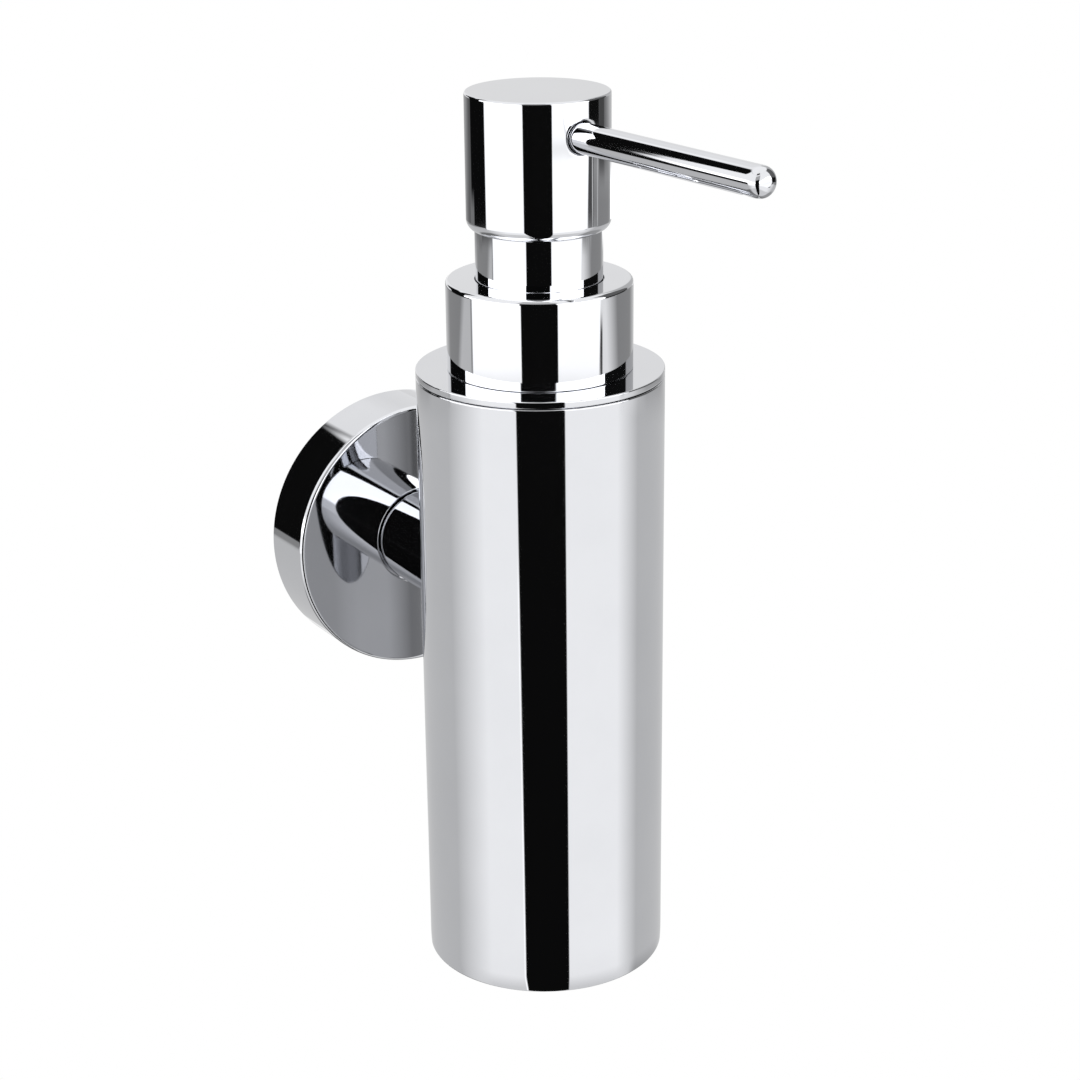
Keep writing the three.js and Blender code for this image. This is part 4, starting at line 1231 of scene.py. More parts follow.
@dataclass
class WallBracket:
    """The flange on the wall and the arm that reaches out of it.

    Heights are from the wall.

    Attributes:
        root_hole: The radius of the bolt's hole in the arm's root, and its end.
        end_hole: The same of the hole in the arm's hollowed end.
        washer: The washer's bore, rim, underside and top.
        grub: The grub screw's radius, its tip's, and its two ends from the arm's axis.
        grub_socket: Its socket's width across flats, and its depth.
    """

    flange_radius: float = 30.0
    flange_depth: float = 13.6
    flange_bore: float = 27.8
    flange_edge: float = 0.85
    face_wall: float = 3.0
    socket_radius: float = 10.85
    socket_depth: float = 1.2
    screw_hole: float = 3.3
    grub_hole: Hole = Hole(radius=2.1, height=3.5, lip=0.25, window=2.9)
    arm_radius: float = 10.5
    arm_root: float = 12.45
    saddle_radius: float = 25.3
    root_hole: Pair = (3.1, 25.54)
    end_hole: Pair = (2.6, 28.84)
    arm_bolt: Bolt = Bolt(radius=3.0, head=(5.25, 3.3), reach=15.04, socket=(4.0, 2.0), pitch=1.0)
    shell_bolt: Bolt = Bolt(radius=2.5, head=(4.6, 1.6), reach=12.01, socket=(3.0, 1.1), pitch=0.8)
    washer: Four = (3.3, 6.0, 9.35, 10.55)
    grub: Four = (2.0, 0.5, 27.2, 29.6)
    grub_socket: Pair = (2.0, 1.6)

    def flange(self) -> Skin:
        """Turns the flange: a deep disc, hollow at its back, with a rounded socket for the arm.

        Returns:
            The flange's surface.
        """
        skin = Skin(WALL_SEAT)
        back = self.flange_depth - self.face_wall
        outline = rounded(
            (self.flange_bore, 0.0, 0.2),
            (self.flange_radius, 0.0, 0.25),
            (self.flange_radius, self.flange_depth, self.flange_edge),
            (self.socket_radius, self.flange_depth, 0.3),
            (self.socket_radius, self.flange_depth - self.socket_depth),
            (self.screw_hole, self.flange_depth - self.socket_depth, 0.15),
            (self.screw_hole, back, 0.15),
            (self.flange_bore, back, 0.8),
        )
        self.grub_hole.pierce(skin, outline, Facing.SHOWN.value, self.flange_radius,
                              self.flange_bore)
        return skin

    def arm(self) -> Skin:
        """Turns the arm and hollows its end to the shell.

        Along the side, height runs in equal shares from the root's rounding to the saddle. The
        saddle's height is the standoff less the root of the saddle's radius squared less
        (radius times sine of the turn) squared.

        Returns:
            The arm's surface.
        """
        columns = Facing.SHOWN.value
        root = rounded(
            (0.0, self.root_hole[1]),
            (self.root_hole[0], self.root_hole[1]),
            (self.root_hole[0], self.arm_root, 0.2),
            (self.arm_radius, self.arm_root, 0.4),
            (self.arm_radius, STANDOFF),
            closed=False,
        )[:-1]
        turn = turns(columns)
        low = root[-1, 1]
        share = np.linspace(0.0, 1.0, ARM_ROWS + 1)[1:, None]
        height = low + share * (self.saddle(self.arm_radius, turn) - low)
        side = swept(np.full((ARM_ROWS, 1), self.arm_radius), height, columns)
        radius = np.linspace(self.arm_radius, self.end_hole[0], SADDLE_ROWS)[:, None]
        end = swept(radius + 0 * turn, self.saddle(radius, turn), columns)
        deep = swept(np.array([self.end_hole[0], 0.0]), np.full(2, self.end_hole[1]), columns)
        return Skin(WALL_SEAT).add(np.concatenate([turned(root, columns), side, end[1:], deep]))

    def saddle(self, radius: Array | float, turn: Array) -> Array:
        """Gives the height of the hollowed end at a radius and turn."""
        return STANDOFF - np.sqrt(self.saddle_radius**2 - (radius * np.sin(turn)) ** 2)

    def bolt_ring(self) -> Skin:
        """Turns the washer under the arm bolt's head."""
        return flat_ring(self.washer, (0.12, 0.12, 0.3, 0.12), WALL_SEAT)

    def grub_screw(self) -> Skin:
        """Turns the grub screw: a cone point, a short body and a hexagon socket below.

        Returns:
            The grub screw's surface.
        """
        radius, tip, low, high = self.grub
        half, floor = 0.5 * self.grub_socket[0], high - self.grub_socket[1]
        outline = rounded(
            (0.0, floor), (half, floor), (half, high), (radius, high, 0.2),
            (radius, low + radius - tip, 0.1), (tip, low, 0.1), (0.0, low), closed=False)
        return Skin(GRUB_SEAT).add(hexed(outline, half, Facing.SMALL.value))

    def build(self, shop: Workshop) -> None:
        """Makes the bracket's pieces.

        Args:
            shop: Where they are dressed.
        """
        shop.piece("flange_rosette", self.flange(), Body.BRACKET, Slot.CHROME, "flange")
        shop.piece("arm_bar", self.arm(), Body.BRACKET, Slot.CHROME, "arm")
        arm_bolt = self.arm_bolt.skin(ARM_BOLT_SEAT)
        shell_bolt = self.shell_bolt.skin(SHELL_BOLT_SEAT)
        shop.piece("arm_bolt", arm_bolt, Body.BRACKET, Slot.STEEL, "arm_screw")
        shop.piece("arm_bolt_ring", self.bolt_ring(), Body.BRACKET, Slot.STEEL, "arm_washer")
        shop.piece("rim_grub", self.grub_screw(), Body.BRACKET, Slot.STEEL, "flange_grub_screw")
        shop.piece("shell_bolt", shell_bolt, Body.BRACKET, Slot.STEEL, "shell_screw")


@dataclass
class BottleShell:
    """The chromed tube that the bottle stands in.

    Attributes:
        foot: How far the tube is drawn in at its foot, how high, and the bend's own radius.
        base: The base disc's bore, rim, underside and top.
    """

    radius: float = 25.0
    bore: float = 24.0
    bottom: float = -77.1
    top: float = 50.0
    edge: float = 0.25
    foot: Triple = (0.1, 1.9, 59.0)
    screw_hole: Hole = Hole(radius=2.8, height=0.0, turn=180.0, lip=0.15, window=4.6)
    base: Four = (3.0, 23.9, -76.7, -75.2)

    def tube(self) -> Skin:
        """Turns the tube, drawn in a little at its foot, and pierces it for its screw.

        Returns:
            The tube's surface.
        """
        skin = Skin(BOTTLE_SEAT)
        inset, height, bend = self.foot
        outline = rounded(
            (self.bore, self.bottom, 0.12),
            (self.radius - inset, self.bottom, self.edge),
            (self.radius, self.bottom + height, bend),
            (self.radius, self.top, self.edge),
            (self.bore, self.top, 0.12),
        )
        self.screw_hole.pierce(skin, outline, Facing.SHOWN.value, self.radius, self.bore)
        return skin

    def disc(self) -> Skin:
        """Turns the base disc: a pressed ring round its drain hole."""
        return flat_ring(self.base, (0.3, 0.2, 0.3, 0.3))

    def build(self, shop: Workshop) -> None:
        """Makes the shell's pieces.

        Args:
            shop: Where they are dressed.
        """
        shop.piece("bottle_shell", self.tube(), Body.BRACKET, Slot.CHROME, "shell")
        shop.piece("shell_floor", self.disc(), Body.BRACKET, Slot.CHROME, "shell_base")


@dataclass
class Container:
    """The blown bottle and the lid plate that lift out of the shell.

    Attributes:
        push_up: The radius and height of the push-up under the bottle, and its step's width.
        shoulder: The shoulder's radius, and the heights of its step and of its top.
        neck: The neck's radius, bore and top.
        channel: The channel up the bottle's back, which passes the shell's screw: its flat
            face, half its width and its top.
        channel_fade: How many degrees it fades over beside it, and millimetres above it.
        channel_reach: How far round from the back, in radians, its flat face is followed.
        channel_rows: The first and last of the close rows at its top, and how many they are.
        skirt: The lid's skirt: its bore, radius and underside.
    """

    bottle_radius: float = 23.6
    bottle_bottom: float = -75.15
    bottle_wall: float = 1.0
    bottle_floor: float = 1.2
    foot_edge: float = 2.5
    push_up: Triple = (17.0, 0.5, 1.5)
    shoulder: Triple = (22.4, 47.7, 50.15)
    shoulder_edge: float = 1.8
    neck: Triple = (12.5, 10.8, 62.75)
    neck_thread: Thread = Thread(root=12.5, depth=1.2, start=54.25, laps=1.5)
    channel: Triple = (20.55, 5.9, 5.9)
    channel_fade: Pair = (4.5, 3.0)
    channel_reach: float = 0.5
    channel_rows: tuple[float, float, int] = (-0.5, 3.5, 11)
    bottle_columns: int = 240
    lid_bore: float = 14.0
    lid_radius: float = 25.0
    lid_bottom: float = 50.2
    lid_top: float = 51.55
    skirt: Triple = (22.7, 23.7, 48.0)

    def side(self, inset: float) -> list[tuple[float, ...]]:
        """Lists the corners up one face of the bottle's wall, from its foot to its neck.

        Close rows lie where the channel ends.

        Args:
            inset: How far the face is inside the outer one.

        Returns:
            The corners.
        """
        shoulder, step, top = self.shoulder
        wall, edge = self.bottle_radius - inset, shoulder - inset
        heights = self.channel[2] + inset + np.linspace(*self.channel_rows)
        return [
            *((wall, float(height)) for height in heights),
            (wall, step - inset - (self.bottle_radius - shoulder), 0.5),
            (edge, step - inset, 0.3),
            (edge, top - inset, self.shoulder_edge - 0.5 * inset),
        ]

    def bottle_face(self, outline: Array, inset: float) -> Array:
        """Turns one face of the bottle, with the channel pressed into its back.

        Round the back the radius falls to the flat face's distance over the cosine of the angle
        from the back, by as much as it was more than that. The fall is whole across the
        channel's width and fades over some degrees beside it, and over some millimetres above it.

        Args:
            outline: The face's outline.
            inset: How far the face is inside the outer one.

        Returns:
            A grid of points, rows by columns.
        """
        face, half_width, top = self.channel
        face, half_width, top = face - inset, half_width + inset, top + inset
        beside, above = self.channel_fade
        away = np.abs(turns(self.bottle_columns) - np.pi)
        edge = float(np.arctan(half_width / face))
        flat = face / np.cos(np.minimum(away, self.channel_reach))
        fall = 1.0 - smooth(edge, edge + np.radians(beside), away)
        fall = fall * (1.0 - smooth(top, top + above, outline[:, 1:]))
        radius = outline[:, :1] - fall * np.maximum(outline[:, :1] - flat, 0.0)
        return swept(radius, outline[:, 1], self.bottle_columns)

    def bottle(self) -> Skin:
        """Turns the bottle, outside and then inside, and winds the thread onto its neck.

        Returns:
            The bottle's surface.
        """
        neck, bore, high = self.neck
        top = self.shoulder[2]
        low, floor = self.bottle_bottom, self.bottle_bottom + self.bottle_floor
        centre, rise, step = self.push_up
        wall = self.bottle_wall
        outside = rounded(
            (0.0, low + rise), (centre, low + rise, 1.0), (centre + step, low, 0.6),
            (self.bottle_radius, low, self.foot_edge), *self.side(0.0),
            (neck, top, 0.6), (neck, high, 0.25), (bore, high), closed=False)
        inside = rounded(
            (0.0, floor), (self.bottle_radius - wall, floor, self.foot_edge - wall),
            *self.side(wall), (bore, top - wall, 0.5), (bore, high), closed=False)
        skin = Skin(BOTTLE_SEAT)
        skin.add(self.bottle_face(outside, 0.0)).add(self.bottle_face(inside, wall))
        return self.neck_thread.onto(skin)

    def lid(self) -> Skin:
        """Turns the lid plate with its centring skirt.

        Returns:
            The lid's surface.
        """
        inner, outer, low = self.skirt
        outline = rounded(
            (self.lid_bore, self.lid_bottom, 0.1),
            (inner, self.lid_bottom, 0.1),
            (inner, low, 0.15),
            (outer, low, 0.3),
            (outer, self.lid_bottom),
            (self.lid_radius, self.lid_bottom, 0.15),
            (self.lid_radius, self.lid_top, 0.2),
            (self.lid_bore, self.lid_top, 0.15),
        )
        return ring(outline, Facing.SHOWN)

    def build(self, shop: Workshop) -> None:
        """Makes the container's pieces.

        Args:
            shop: Where they are dressed.
        """
        shop.piece("blown_bottle", self.bottle(), Body.CONTAINER, Slot.BOTTLE, "inner_bottle")
        shop.piece("lid_disc", self.lid(), Body.CONTAINER, Slot.CHROME, "lid_plate")


@dataclass
class ClosureSet:
    """The collar, its threaded cap and the sleeve that shows as the neck.

    Attributes:
        sleeve_flange: The radius, underside and top of the sleeve's flange.
        cap_web: The hole, underside and top of the cap's web.
        rib_columns: How many columns a rib and its gap have.
    """

    collar_radius: float = 18.64
    collar_bore: float = 17.54
    collar_bottom: float = 51.6
    collar_top: float = 69.8
    collar_top_wall: float = 1.2
    collar_hole: float = 12.82
    collar_edge: float = 0.9
    sleeve_radius: float = 12.65
    sleeve_bore: float = 11.45
    sleeve_top: float = 82.7
    sleeve_flange: Triple = (16.25, 66.95, 68.55)
    cap_bore: float = 14.05
    cap_radius: float = 15.65
    cap_bottom: float = 52.1
    cap_edge: float = 0.35
    cap_web: Triple = (8.1, 65.3, 66.9)
    rib_count: int = 14
    rib_radius: float = 17.24
    rib_width: float = 1.4
    rib_fade: float = 0.15
    rib_columns: int = 24
    cap_thread: Thread = Thread(root=14.05, depth=-1.2, start=53.6, laps=1.25, first=0.25)

    def cap(self) -> Skin:
        """Turns the threaded cap, with ribs down its skirt.

        The skirt's radius grows to the ribs' by a share that is 1 within half a rib's width of a
        rib's middle, measured round the skirt, and fades at its sides. The first rib's middle is
        a quarter turn round. The radius grows with the outline's own over the skirt's rounded
        edge, so that the ribs' ends are rounded.

        Returns:
            The cap's surface.
        """
        hole, ceiling, top = self.cap_web
        edge = self.cap_edge
        outline = rounded(
            (self.cap_bore, self.cap_bottom, 0.3), (self.cap_radius, self.cap_bottom, edge),
            (self.cap_radius, top, edge), (hole, top, 0.3), (hole, ceiling, 0.2),
            (self.cap_bore, ceiling, 0.4))
        columns = self.rib_count * self.rib_columns
        pitch = 2.0 * np.pi * self.cap_radius / self.rib_count
        place = np.arange(columns) / self.rib_columns - 0.25 * self.rib_count
        away = pitch * np.abs(place - np.round(place))
        half, fade = 0.5 * self.rib_width, self.rib_fade
        share = 1.0 - smooth(half - fade, half + fade, away)
        grown = smooth(self.cap_radius - edge, self.cap_radius, outline[:, :1])
        radius = outline[:, :1] + (self.rib_radius - self.cap_radius) * share * grown
        skin = Skin(BOTTLE_SEAT).add(swept(radius, outline[:, 1], columns), wrap_rows=True)
        return self.cap_thread.onto(skin)

    def collar(self) -> Skin:
        """Turns the collar, with its crisp top edge and a rounded hole for the sleeve.

        Returns:
            The collar's surface.
        """
        ceiling = self.collar_top - self.collar_top_wall
        outline = rounded(
            (self.collar_bore, self.collar_bottom, 0.15),
            (self.collar_radius, self.collar_bottom, 0.2),
            (self.collar_radius, self.collar_top, self.collar_edge),
            (self.collar_hole, self.collar_top, 0.2),
            (self.collar_hole, ceiling, 0.2),
            (self.collar_bore, ceiling, 0.3),
        )
        return ring(outline, Facing.SHOWN)

    def sleeve(self) -> Skin:
        """Turns the guide sleeve with its flange.

        Returns:
            The sleeve's surface.
        """
        flange, low, high = self.sleeve_flange
        outline = rounded(
            (self.sleeve_bore, low, 0.2),
            (flange, low, 0.2),
            (flange, high, 0.2),
            (self.sleeve_radius, high),
            (self.sleeve_radius, self.sleeve_top, 0.4),
            (self.sleeve_bore, self.sleeve_top, 0.25),
        )
        return ring(outline, Facing.SHOWN)

    def build(self, shop: Workshop) -> None:
        """Makes the closure set's pieces.

        Args:
            shop: Where they are dressed.
        """
        shop.piece("threaded_cap", self.cap(), Body.CLOSURE, Slot.PUMP, "closure")
        shop.piece("collar_ring", self.collar(), Body.CLOSURE, Slot.CHROME, "collar")
        shop.piece("neck_sleeve", self.sleeve(), Body.CLOSURE, Slot.CHROME, "guide_sleeve")


def ball(radius: float, height: float) -> Skin:
    """Turns a valve ball from a half round, with its poles on the axis.

    Args:
        radius: The ball's radius.
        height: Its middle's height.

    Returns:
        The ball's surface.
    """
    outline = arc((0.0, height), radius, -90.0, 90.0, BALL_ROWS)
    outline[[0, -1], 0] = 0.0
    return Skin(BOTTLE_SEAT).add(turned(outline, Facing.SMALL.value))


@dataclass
class Pump:
    """The pump's still half: the barrel, its cap and gasket, the dip tube and the inlet's ball.

    Attributes:
        flange: The radius and underside of the barrel's flange.
        lip: The radius and depth of the lip over the inlet ball's cage.
        socket: The bore, radius and underside of the dip tube's socket.
        plug: The cap's plug: its tip's radius, its own and its underside.
        cap: The cap's radius, underside and top.
        gasket: The gasket's bore, rim, underside and top.
        pipe: The dip tube's bore and radius.
        pipe_slant: The slant of its foot in degrees.
        lower_ball: The inlet ball's radius and its middle's height.
    """

    bore: float = 6.1
    radius: float = 7.0
    top: float = 65.25
    floor: float = 23.25
    flange: Pair = (12.3, 63.85)
    lip: Pair = (2.0, 0.7)
    cage_bore: float = 2.7
    cage_radius: float = 4.0
    cage_floor: float = 16.25
    inlet_bore: float = 1.5
    socket: Triple = (2.6, 3.8, 6.95)
    tube_stop: float = 14.95
    shoulder: float = 21.45
    guide: float = 3.75
    plug: Triple = (5.9, 6.0, 55.25)
    plug_taper: float = 2.2
    cap: Triple = (7.8, 65.3, 68.7)
    gasket: Four = (7.3, 12.3, 62.8, 63.8)
    pipe: Pair = (1.75, 2.5)
    pipe_ends: Pair = (-71.75, 14.85)
    pipe_slant: float = 35.0
    lower_ball: Pair = (2.2, 17.91)

    def barrel(self) -> Skin:
        """Turns the barrel: its flange, its bore, the inlet ball's cage and the tube's socket.

        Returns:
            The barrel's surface.
        """
        lip, drop = self.lip
        ball_seat = self.cage_floor + self.lower_ball[0] - self.inlet_bore
        socket, socket_radius, low = self.socket
        flange, under = self.flange
        outline = rounded(
            (self.bore, self.top, 0.2), (self.bore, self.floor, 0.3), (lip, self.floor, 0.15),
            (lip, self.floor - drop), (self.cage_bore, self.floor - 2.0 * drop),
            (self.cage_bore, ball_seat), (self.inlet_bore, self.cage_floor, 0.1),
            (self.inlet_bore, self.tube_stop), (socket, self.tube_stop), (socket, low, 0.25),
            (socket_radius, low, 0.2), (socket_radius, self.tube_stop),
            (self.cage_radius, self.cage_floor, 0.2), (self.cage_radius, self.shoulder, 0.5),
            (self.radius, self.floor, 0.6), (self.radius, under, 0.4),
            (flange, under, 0.15), (flange, self.top, 0.3))
        return ring(outline, Facing.INNER)

    def barrel_cap(self) -> Skin:
        """Turns the cap: a tapered plug in the barrel and a domed guide above it.

        Returns:
            The cap's surface.
        """
        tip, plug, low = self.plug
        radius, ledge, top = self.cap
        outline = rounded(
            (self.guide, low, 0.2), (tip, low, 0.2), (plug, low + self.plug_taper), (plug, ledge),
            (radius, ledge, 0.2), (radius, top, 1.1), (self.guide, top, 0.3))
        return ring(outline, Facing.INNER)

    def gasket_ring(self) -> Skin:
        """Turns the gasket, with soft edges."""
        return flat_ring(self.gasket, (0.25, 0.25, 0.25, 0.25))

    def dip_pipe(self) -> Skin:
        """Turns the dip tube and cuts its foot slanting.

        The foot stands above the tube's low end by half the tube's radius less x times the
        slant's tangent, where that is more than nothing.

        Returns:
            The dip tube's surface.
        """
        bore, radius = self.pipe
        low, high = self.pipe_ends
        outline = rounded((bore, low), (radius, low), (radius, high, 0.2), (bore, high, 0.15))
        columns = Facing.SMALL.value
        x = outline[:, :1] * np.sin(turns(columns))
        foot = np.maximum(0.5 * radius - x * np.tan(np.radians(self.pipe_slant)), 0.0)
        height = outline[:, 1:] + np.where(outline[:, 1:] < low + NEAR, foot, 0.0)
        return Skin(BOTTLE_SEAT).add(swept(outline[:, 0], height, columns), wrap_rows=True)

    def build(self, shop: Workshop) -> None:
        """Makes the pump's pieces.

        Args:
            shop: Where they are dressed.
        """
        shop.piece("pump_barrel", self.barrel(), Body.PUMP, Slot.PUMP, "pump_housing")
        shop.piece("barrel_cap", self.barrel_cap(), Body.PUMP, Slot.PUMP, "pump_cap")
        shop.piece("gasket_ring", self.gasket_ring(), Body.PUMP, Slot.RUBBER, "neck_gasket")
        shop.piece("dip_pipe", self.dip_pipe(), Body.PUMP, Slot.BOTTLE, "dip_tube")
        shop.piece("lower_ball", ball(*self.lower_ball), Body.INLET, Slot.STEEL, "inlet_ball")


@dataclass
class Plunger:
    """What the head presses down: stem, piston, rod, spring and the outlet's ball.

    Attributes:
        stem_shoulder: The radius, underside and top of the stem's shoulder.
        stem_cage: The radius and floor of the outlet ball's cage.
        stem_seat: The radius of the ball's seat, and the heights of its foot and of the cone's.
        piston: The piston's bore, its lips' radius and its waist's.
        piston_lip: How long a lip is.
        rod_tail: The radius and foot of the rod's tail.
        rod_collar: The radius, underside and top of the spring's seat.
        rod_spigot: The radius and top of the spigot in the stem.
        spring_line: The radius of the wire's line, and the spring's two ends.
        travel: How far the head is pressed; not used.
        upper_ball: The outlet ball's radius and its middle's height.
    """

    stem_radius: float = 3.4
    stem_bore: float = 1.9
    stem_ends: Pair = (46.55, 96.4)
    stem_shoulder: Triple = (5.0, 54.0, 55.2)
    stem_cage: Pair = (2.4, 91.9)
    stem_seat: Triple = (1.2, 90.4, 89.65)
    piston: Triple = (3.5, 6.0, 5.0)
    piston_ends: Pair = (46.55, 53.95)
    piston_lip: float = 1.6
    rod_tail: Pair = (1.6, 37.1)
    rod_collar: Triple = (4.9, 45.1, 46.5)
    rod_spigot: Pair = (1.8, 51.5)
    spring_line: Triple = (5.04, 23.3, 45.05)
    spring_wire: float = 0.36
    spring_turns: float = 8.0
    closed_turns: float = 1.0
    closed_pitch: float = 0.77
    travel: float = 9.5
    upper_ball: Pair = (1.9, 93.42)

    def stem_tube(self) -> Skin:
        """Turns the stem: a tube with a shoulder, and the outlet ball's cage and seat on top.

        Returns:
            The stem's surface.
        """
        low, high = self.stem_ends
        shoulder, under, over = self.stem_shoulder
        cage, cage_floor = self.stem_cage
        seat, seat_low, cone_low = self.stem_seat
        outline = rounded(
            (self.stem_bore, low, 0.15), (self.stem_radius, low, 0.2),
            (self.stem_radius, under, 0.15), (shoulder, under, 0.3), (shoulder, over, 0.15),
            (self.stem_radius, over, 0.15), (self.stem_radius, high, 0.3), (cage, high, 0.2),
            (cage, cage_floor, 0.2), (seat, cage_floor, 0.1), (seat, seat_low),
            (self.stem_bore, cone_low))
        return ring(outline, Facing.INNER)

    def piston_cup(self) -> Skin:
        """Turns the piston: a waisted sleeve with a rounded sealing lip at each end.

        Returns:
            The piston's surface.
        """
        bore, rim, waist = self.piston
        low, high = self.piston_ends
        lip = self.piston_lip
        outline = rounded(
            (bore, low, 0.2), (rim, low, 0.5), (rim, low + lip, 0.3),
            (waist, low + 1.5 * lip, 0.6), (waist, high - 1.5 * lip, 0.6),
            (rim, high - lip, 0.3), (rim, high, 0.5), (bore, high, 0.2))
        return ring(outline, Facing.INNER)

    def rod_seat(self) -> Skin:
        """Turns the rod: a tail in the spring, the spring's seat and a spigot in the stem.

        Returns:
            The rod's surface.
        """
        tail, low = self.rod_tail
        collar, under, over = self.rod_collar
        spigot, top = self.rod_spigot
        outline = rounded(
            (0.0, low), (0.5 * tail, low, 0.3), (tail, low + tail, 0.5), (tail, under, 0.3),
            (collar, under, 0.2), (collar, over, 0.2), (spigot, over, 0.1), (spigot, top, 0.5),
            (0.0, top), closed=False)
        return Skin(BOTTLE_SEAT).add(turned(outline, Facing.INNER.value))

    def spring_coil(self) -> Skin:
        """Winds the spring: a round wire whose end turns lie close.

        The line climbs by the closed pitch in its end turns and by an even share of what is left
        in the turns between them. Its first and last points come twice, once with a share of 0,
        which closes the wire.

        Returns:
            The spring's surface.
        """
        radius, low, high = self.spring_line
        wire = self.spring_wire
        laps = np.linspace(0.0, self.spring_turns, int(self.spring_turns * SPRING_STEPS) + 1)
        open_turns = self.spring_turns - 2.0 * self.closed_turns
        opened = np.clip(laps - self.closed_turns, 0.0, open_turns)
        rise = high - low - 2.0 * wire - 2.0 * self.closed_turns * self.closed_pitch
        height = low + wire + (laps - opened) * self.closed_pitch + opened * rise / open_turns
        section = arc((0.0, 0.0), wire, 0.0, 360.0, WIRE_SIDES)[:-1]
        share = np.concatenate([[0.0], np.ones_like(laps), [0.0]])
        angle, height = np.pad(2.0 * np.pi * laps, 1, "edge"), np.pad(height, 1, "edge")
        return Skin(BOTTLE_SEAT).add(wound(section, radius, angle, height, share))

    def build(self, shop: Workshop) -> None:
        """Makes the plunger's pieces.

        Args:
            shop: Where they are dressed.
        """
        shop.piece("stem_tube", self.stem_tube(), Body.PLUNGER, Slot.PUMP, "stem")
        shop.piece("piston_cup", self.piston_cup(), Body.PLUNGER, Slot.PUMP, "piston")
        shop.piece("rod_seat", self.rod_seat(), Body.PLUNGER, Slot.PUMP, "piston_rod")
        spring = shop.piece("spring_coil", self.spring_coil(), Body.PLUNGER, Slot.STEEL,
                            "return_spring")
        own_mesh(spring)
        shop.piece("upper_ball", ball(*self.upper_ball), Body.OUTLET, Slot.STEEL, "outlet_ball")


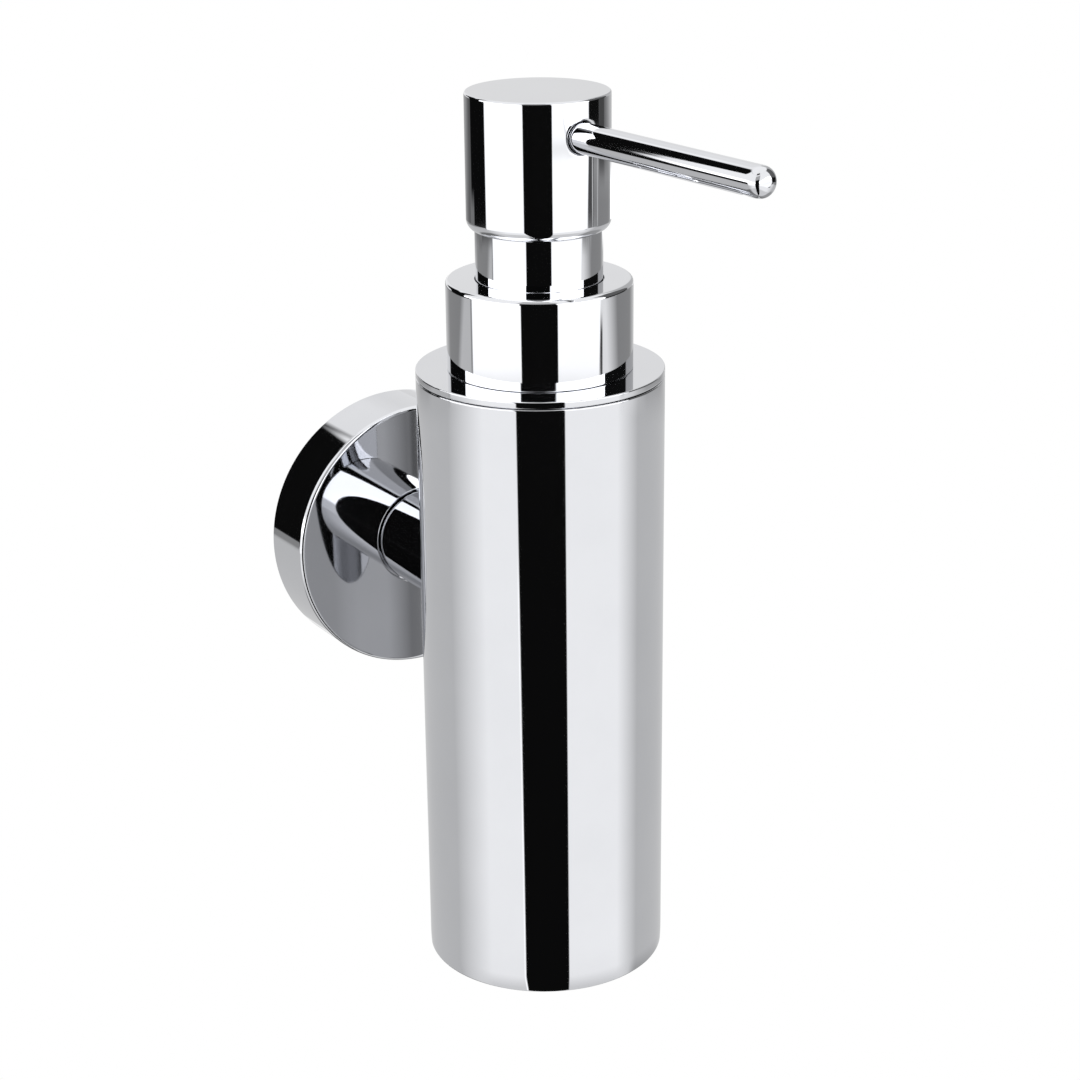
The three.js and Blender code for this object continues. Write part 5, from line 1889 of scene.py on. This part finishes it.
@dataclass
class PushHead:
    """The head that is pressed, with its spout, turned a little to the right.

    Attributes:
        turn: How far it is turned, in degrees.
        bottom_edge: The radius of its foot's arc.
        spout_nose: The power of the spout's blunt end: 2 is round, and more is blunter.
        seal: The seal's radius, its place along the spout and its cord's radius.
    """

    turn: float = 4.7
    radius: float = 14.28
    bore: float = 13.03
    bottom: float = 79.7
    top: float = 106.8
    top_wall: float = 2.0
    top_edge: float = 0.45
    bottom_edge: float = 2.2
    spout_hole: Hole = Hole(radius=3.12, height=99.6, lip=0.5, window=4.5)
    spout_radius: float = 3.0
    spout_bore: float = 2.2
    spout_root: float = 8.0
    spout_reach: float = 66.9
    spout_nose: float = 3.0
    outlet: Hole = Hole(radius=1.6, height=62.1, lip=0.12, window=1.76)
    seal: Triple = (3.75, 11.32, 0.65)

    def seats(self) -> tuple[Seat, Seat]:
        """Gives the head's own axes and the spout's.

        Returns:
            The bottle's seat turned about Z, and one whose Z runs out along the spout from the
            bottle's axis and whose Y is up.
        """
        angle = np.radians(self.turn)
        cos, sin = float(np.cos(angle)), float(np.sin(angle))
        across, up, ahead = (cos, sin, 0.0), (0.0, 0.0, 1.0), (sin, -cos, 0.0)
        return (Seat((0.0, -STANDOFF, 0.0), (across, (-sin, cos, 0.0), up)),
                Seat((0.0, -STANDOFF, self.spout_hole.height), (across, up, ahead)))

    def shell(self) -> Skin:
        """Turns the head's shell.

        Its foot is an arc of the bottom edge's radius that runs in to the bore as a thin lip.

        Returns:
            The shell's surface.
        """
        skin = Skin(self.seats()[0])
        centre = (self.radius - self.bottom_edge, self.bottom + self.bottom_edge)
        start = -float(np.degrees(np.arccos((self.bore - centre[0]) / self.bottom_edge)))
        foot = arc(centre, self.bottom_edge, start, 0.0)
        crown = rounded(
            (self.radius, centre[1]),
            (self.radius, self.top, self.top_edge),
            (0.0, self.top),
            (0.0, self.top - self.top_wall),
            (self.bore, self.top - self.top_wall, 0.2),
            tuple(foot[0]),
            closed=False,
        )
        outline = np.concatenate([foot, [foot[-1] + (0.0, GUARD)], crown[1:-1]])
        self.spout_hole.pierce(skin, outline, Facing.SHOWN.value, self.radius, self.bore)
        return skin

    def nose(self, start: float) -> Array:
        """Draws the spout's blunt end.

        Radius is the spout's times cos(t) to the power 2 / nose, and height is the start plus
        the spout's radius times sin(t) to the same power, for t from 0 to a quarter turn.

        Args:
            start: How far out it starts.

        Returns:
            The points of its outline, one row each.
        """
        t = np.linspace(0.0, 0.5 * np.pi, NOSE_ROWS)
        power = 2.0 / self.spout_nose
        radius = self.spout_radius * np.maximum(np.cos(t), 0.0) ** power
        radius[-1] = 0.0
        return np.stack([radius, start + self.spout_radius * np.sin(t) ** power], axis=-1)

    def spout(self) -> Skin:
        """Turns the spout with its blunt closed end, and pierces its outlet underneath.

        Returns:
            The spout's surface.
        """
        skin = Skin(self.seats()[1])
        end = self.spout_reach - self.spout_radius
        outline = np.concatenate([
            rounded((self.spout_bore, self.spout_root), (self.spout_radius, self.spout_root, 0.2),
                    (self.spout_radius, end - NOSE_GAP), closed=False),
            self.nose(end),
            arc((0.0, end), self.spout_bore, 90.0, 0.0),
        ])
        self.outlet.pierce(skin, outline, Facing.INNER.value, self.spout_radius, self.spout_bore)
        return skin

    def seal_ring(self) -> Skin:
        """Sweeps the seal: a round cord carried round the spout.

        Returns:
            The seal's surface.
        """
        middle, out, cord = self.seal
        outline = arc((middle, out), cord, 0.0, 360.0, SEAL_SIDES)[:-1]
        return ring(outline, Facing.SMALL, self.seats()[1])

    def build(self, shop: Workshop) -> None:
        """Makes the head's pieces.

        Args:
            shop: Where they are dressed.
        """
        shop.piece("push_head", self.shell(), Body.HEAD, Slot.CHROME, "head_shell")
        shop.piece("spout_pipe", self.spout(), Body.HEAD, Slot.CHROME, "spout_tube")
        shop.piece("spout_ring", self.seal_ring(), Body.HEAD, Slot.RUBBER, "spout_seal")


def main() -> None:
    """Builds the studio and the dispenser."""
    logging.basicConfig(level=logging.INFO, format="%(message)s")
    Studio().build()
    shop = Workshop()
    kinds = (WallBracket, BottleShell, Container, ClosureSet, Pump, Plunger, PushHead)
    for kind in kinds:
        kind().build(shop)
        log.info("%s is built", kind.__name__)
    shop.dress_nodes()


if __name__ == "__main__":
    main()
